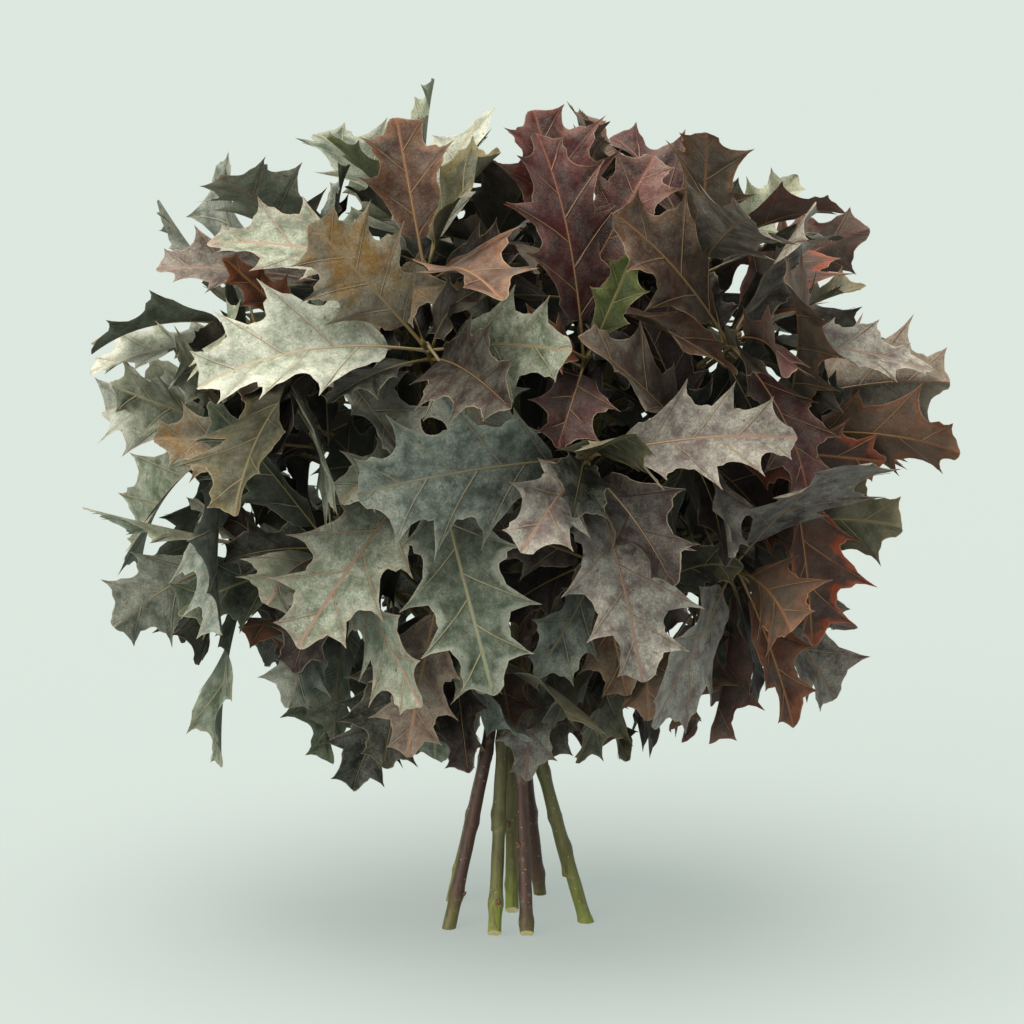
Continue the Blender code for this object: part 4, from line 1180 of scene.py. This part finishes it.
LENS = 100
CAMERA_DISTANCE = 1.536
CAMERA_ELEVATION = 9
TARGET = (0.0, 0.0, 0.225)
BACKDROP_COLOUR = "#dde8e0"
SUN_COLOUR = "#fff4e6"
FLOOR_GLOW = 0.50  # share of the floor's brightness that shines through it from below
FLOOR_SIZE = 240.0
FLOOR_DROP = 0.0004
Sun = namedtuple("Sun", "name azimuth elevation spread strength")
SUNS = (
    Sun("overhead_softbox", -60, 82, 60, 6.8),
    Sun("front_softbox", -38, 20, 50, 2.3),
)

camera = bpy.data.objects.new("camera", bpy.data.cameras.new("camera"))
bpy.context.scene.collection.objects.link(camera)
camera.data.lens = LENS
camera.data.clip_end = 50
lift = math.radians(CAMERA_ELEVATION)
back = Vector((0, -math.cos(lift), math.sin(lift)))
camera.location = Vector(TARGET) + back * CAMERA_DISTANCE
camera.rotation_mode = "QUATERNION"
camera.rotation_quaternion = back.to_track_quat("Z", "Y")
bpy.context.scene.camera = camera
bpy.context.scene.view_settings.view_transform = "Standard"

# Soft, even lights from a long way off. Azimuth 0 comes from the front, and a quarter turn from +X.
for sun in SUNS:
    light = bpy.data.lights.new(sun.name, "SUN")
    light.energy = sun.strength
    light.color = linear(SUN_COLOUR)[:3]
    light.angle = math.radians(sun.spread)
    holder = bpy.data.objects.new(sun.name, light)
    level = around(math.radians(sun.azimuth)) * math.cos(math.radians(sun.elevation))
    holder.rotation_mode = "QUATERNION"
    way = Vector((level[0], level[1], math.sin(math.radians(sun.elevation))))
    holder.rotation_quaternion = way.to_track_quat("Z", "Y")
    bpy.context.scene.collection.objects.link(holder)

backdrop = np.array(linear(BACKDROP_COLOUR)[:3])
world = bpy.data.worlds.new("studio")
bpy.context.scene.world = world
world.use_nodes = True
world.node_tree.nodes["Background"].inputs["Color"].default_value = (*backdrop, 1.0)

# The floor is as grey as makes it look like the backdrop, by its glow and all the light on it.
sun_light = sum(sun.strength * math.sin(math.radians(sun.elevation)) for sun in SUNS) / math.pi
sun_light = sun_light * np.array(linear(SUN_COLOUR)[:3])
floor_grey = (*(backdrop * (1 - FLOOR_GLOW) / (backdrop + sun_light)), 1.0)
slab = bpy.data.meshes.new("floor")
half = FLOOR_SIZE / 2
corners = ((-half, -half), (half, -half), (half, half), (-half, half))
slab.from_pydata([(x, y, -FLOOR_DROP) for x, y in corners], [], [(0, 1, 2, 3)])
floor = bpy.data.objects.new("floor", slab)
bpy.context.scene.collection.objects.link(floor)
slab.materials.append(studio_floor(floor_grey, (*(backdrop * FLOOR_GLOW), 1.0)))

# ---- Finishes ----

leaf_finish = {
    "leaf_silver": oak_leaf_blade("oak_leaf_silver", 0.62),
    "leaf_sage": oak_leaf_blade("oak_leaf_sage", 0.56),
    "leaf_rose": oak_leaf_blade("oak_leaf_rose", 0.58),
    "leaf_burgundy": oak_leaf_blade("oak_leaf_burgundy", 0.48),
    "leaf_russet": oak_leaf_blade("oak_leaf_russet", 0.52),
}
stalk_skin = leaf_stalk_skin()
bark_green = living_bark("living_bark_green", "#56552a", "#7f8a33", "#4a3a22", 0.02)
bark_brown = living_bark("living_bark_brown", "#4a2f24", "#6a6a30", "#2e1f1a", 0.01)
twig_bark = living_bark("twig_bark", "#5d5330", "#5d5330", "#3d2c1e", 0.0)
cut_wood = speckled_skin("fresh_cut_wood", "#b09a63", "#d9cb9c", 0.0012, 0.8, (0.35, 0.7), (0.5, 0.0002))
cork = speckled_skin("bark_cork_spots", "#b5a680", "#8a7a58", 0.0008, 0.85)
bud_scales = speckled_skin("bud_scales", "#7a5236", "#4a2c1e", 0.0009, 0.6)
dry_raffia = speckled_skin("dry_raffia", "#54472c", "#30281a", 0.0014, 0.75)
strands = strand_tree()
cork_spots = cork_spot_tree()

# ---- Shoots and their leaves ----

cad_low = np.array(cad_box[0])
cad_high = np.array(cad_box[1])
record_slots = {part["node"]: part["material_slot"] for part in frame["record"]["subparts"]}
shoots = laid_out_shoots()
leaves_of = {shoot.name: settled_leaves(shoot) for shoot in shoots}
crowd = Crowd()
for shoot in shoots:
    for leaf, frames, _ in leaves_of[shoot.name]:
        for sheet_lift in (CLEARANCE, -CLEARANCE):
            crowd.add(*leaf_sheet(leaf, frames, sheet_lift))
fillers_of = {shoot.name: filler_leaves(shoot, crowd) for shoot in shoots}


TWIG_STEP = 0.003
TWIG_RADIUS = 0.00155
TWIG_SWELLING = 0.00018
TWIG_SWELLINGS = 31
TWIG_TAPER = 0.0002
TWIG_TIP_RADIUS = 0.0010
COLLAR_RADIUS = 0.0021  # where the twig springs from its stem
COLLAR_DEPTH = 0.3
END_BUDS = 4  # one on the twig's tip and the rest round it, as oaks have
TOP_BUD = 0.0016
SIDE_BUD = 0.0012
SIDE_BUD_LEAN = 0.55
BUD_DEPTH = 0.0006
TUBE_SIDES = 6


def chance_look(leaf_tip, draw):
    """Silver and green looks on the left, red and brown on the right, mixed in the middle."""
    x = leaf_tip[0] + draw.uniform(-LOOK_BLEND, LOOK_BLEND)
    return draw.choice(LEFT_LOOKS if x < 0.0 else RIGHT_LOOKS)


for shoot in shoots:
    draw = random.Random(f"{SEED}, looks of {shoot.name}")
    growth = Growth()
    for inner, leaves in ((False, leaves_of[shoot.name]), (True, fillers_of[shoot.name])):
        for leaf, frames, look in leaves:
            chosen = look or chance_look(frames[0][-1], draw)
            # Inner filler leaves get a near-black tone, which is painted shade.
            tone = INNER_PAINTED_SHADE_TONE if inner else LEAF_TONE * draw.uniform(*TONE_RANGE)
            if frames[0][-1][0] > 0:
                tone *= RIGHT_TONE
            skin = Skin(chosen, draw.uniform(0, 40), tone)
            add_blade(growth, leaf, frames, skin)
            add_ribs(growth, leaf, frames, skin, with_side_veins=not inner)
    blade = leaf_finish[record_slots[shoot.name]]
    piece = piece_from(growth, f"{shoot.name}_leaves", TUBE_SIDES, stalk_skin, blade)
    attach(piece, "root")
    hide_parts(shoot.name)

    twig = Growth()
    skin = Skin("olive", 0.0)
    line = smooth_line(shoot.path, TWIG_STEP)
    share = np.linspace(0, 1, len(line))
    radii = TWIG_RADIUS + TWIG_SWELLING * np.sin(share * TWIG_SWELLINGS) ** 4 - TWIG_TAPER * share
    radii[-1] = TWIG_TIP_RADIUS
    collar = line[0] - (line[1] - line[0]) * COLLAR_DEPTH
    twig.strand_line([collar, *line], [COLLAR_RADIUS, *radii], skin)
    for bud in range(END_BUDS):
        lean = whorl_side(shoot, bud * math.tau / (END_BUDS - 1) + shoot.place)
        way = unit(shoot.facing + lean * (SIDE_BUD_LEAN if bud else 0.0))
        base = shoot.path[-1] - shoot.facing * BUD_DEPTH
        add_bud(twig, base, way, SIDE_BUD if bud else TOP_BUD, skin)
    piece = piece_from(twig, f"{shoot.name}_twig", 10, twig_bark, twig_bark)
    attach(piece, "root")

growth = Growth()
draw = random.Random(f"{SEED}, looks at the neck")
for leaf, frames in neck_leaves(crowd):
    look = chance_look(frames[0][-1], draw)
    skin = Skin(look, draw.uniform(0, 40), LEAF_TONE * draw.uniform(*NECK_SHADE_TONE_RANGE))
    add_blade(growth, leaf, frames, skin)
    add_ribs(growth, leaf, frames, skin, with_side_veins=True)
piece = piece_from(growth, "neck_leaves", TUBE_SIDES, stalk_skin, leaf_finish["leaf_sage"])
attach(piece, "root")

# ---- Stems ----


STEM_STEPS = 150
STEM_SIDES = 24
BUD_SIDES = 10
SPACINGS = (0.034, 0.038, 0.042)  # between a stem's nodes, for each third stem
NODE_LAG = 0.011  # from one stem's nodes to the next stem's
SWELLING = 0.20  # share of the radius at a node
SWELLING_WIDTH = 0.09
SLIMNESS = 0.97
UNEVENNESS = 0.02
UNEVEN_RATE = 310
BEVELLED = (0, 1, 8)  # stems at the front, whose slanting cut shows
BEVEL_SLOPE = 38
BEVEL_START = 0.8  # how far behind the stem's centre the slant starts, in stem radii
CORK_DENSITY = 9000.0  # spots to a square metre
CORK_SPOT = 0.00042
BUD_SIZES = (0.0011, 0.0018)
TOP_CLEAR = 0.02  # buds stay this far from the stem's top, its foot and the tie
FOOT_CLEAR = 0.014
TIE_CLEAR = 0.012


def swollen_radius(stem, height):
    """The stem's radius, with a swelling at each node and a slight unevenness."""
    off = ((height + NODE_LAG * stem) / SPACINGS[stem % 3]) % 1.0 - 0.5
    swelling = SWELLING * math.exp(-((off / SWELLING_WIDTH) ** 2))
    uneven = UNEVENNESS * math.sin(height * UNEVEN_RATE + stem)
    return stem_radius(height) * (SLIMNESS + swelling + uneven)


def cut_level(mesh, point, normal, cut_index):
    """Cuts a stem's end off flat and gives the cut face its own material."""
    solid = bmesh.new()
    solid.from_mesh(mesh)
    cut = bmesh.ops.bisect_plane(
        solid,
        geom=[*solid.verts, *solid.edges, *solid.faces],
        plane_co=point,
        plane_no=normal,
        clear_outer=True,
    )
    edges = [part for part in cut["geom_cut"] if isinstance(part, bmesh.types.BMEdge)]
    filled = bmesh.ops.contextual_create(solid, geom=edges)
    for face in filled["faces"]:
        face.material_index = cut_index
        face.smooth = False
    bmesh.ops.recalc_face_normals(solid, faces=solid.faces)
    solid.to_mesh(mesh)
    solid.free()


for stem in range(RING_STEMS + 1):
    foot = FEET[stem - 1].height if stem else 0.0
    stands = foot == 0.0
    heights = np.linspace(-TRIM if stands else foot, stem_top(stem), STEM_STEPS)
    growth = Growth()
    skin = Skin("olive", float(stem))
    points = [stem_point(stem, height) for height in heights]
    growth.strand_line(points, [swollen_radius(stem, height) for height in heights], skin)
    is_brown = record_slots[f"stem_{stem + 1}"] == "bark_brown"
    bark = bark_brown if is_brown else bark_green
    piece = piece_from(growth, f"stem_{stem + 1}_bark", STEM_SIDES, bark, bark)
    piece.data.materials.append(cut_wood)
    cut_index = len(piece.data.materials) - 1
    if stands:
        cut_level(piece.data, (0, 0, 0), (0, 0, -1), cut_index)
    if stem in BEVELLED:
        slope = math.radians(BEVEL_SLOPE)
        start = Vector(stem_point(stem, foot)) + Vector((0, STEM_RADIUS * BEVEL_START, 0))
        cut_level(piece.data, start, (0, -math.sin(slope), -math.cos(slope)), cut_index)
    grow_with(
        piece, cork_spots, density=CORK_DENSITY, spot_size=CORK_SPOT, seed=stem + 3, spot_material=cork
    )

    buds = Growth()
    draw = random.Random(f"{SEED}, stem {stem}")
    height = 0.5 * SPACINGS[stem % 3] - NODE_LAG * stem
    while height <= stem_top(stem) - TOP_CLEAR:
        if height >= foot + FOOT_CLEAR and abs(height - TIE_HEIGHT) >= TIE_CLEAR:
            spot = stem_point(stem, height)
            along = unit(stem_point(stem, height + 0.002) - spot)
            level = around(draw.uniform(0, math.tau))
            level = unit(level - along * np.dot(level, along))
            base = spot + level * stem_radius(height) * 0.85
            add_bud(buds, base, unit(level + along * 1.1), draw.uniform(*BUD_SIZES), skin)
        height += SPACINGS[stem % 3]
    bud_piece = piece_from(buds, f"stem_{stem + 1}_buds", BUD_SIDES, bud_scales, bud_scales)
    for part in (piece, bud_piece):
        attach(part, "root")
    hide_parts(f"stem_{stem + 1}")

# ---- Tie ----

tie = Growth()
skin = Skin("olive", 0.0)
STRANDS = 2
STRAND_RADIUS = 0.0008
WRAPS = 5
WRAP_STEPS = 40
WRAP_RADIUS = RING_RADIUS + STEM_RADIUS + 0.0014
WRAP_UNEVENNESS = 0.0003
WRAP_WIDTH = TIE_WIDTH - 0.002
for strand in range(STRANDS):
    line = []
    for step in range(WRAPS * WRAP_STEPS + 1):
        turn = step * math.tau / WRAP_STEPS + strand * math.pi
        share = step / (WRAPS * WRAP_STEPS)
        height = TIE_HEIGHT + (share - 0.5) * WRAP_WIDTH
        radius = WRAP_RADIUS + WRAP_UNEVENNESS * math.sin(turn * 3.3 + strand)
        line.append(around(turn) * radius + np.array((0, 0, height)))
    tie.strand_line(line, [STRAND_RADIUS] * len(line), skin)
piece = piece_from(tie, "raffia_wraps", 8, dry_raffia, dry_raffia)
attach(piece, "root")
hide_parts("raffia_tie")
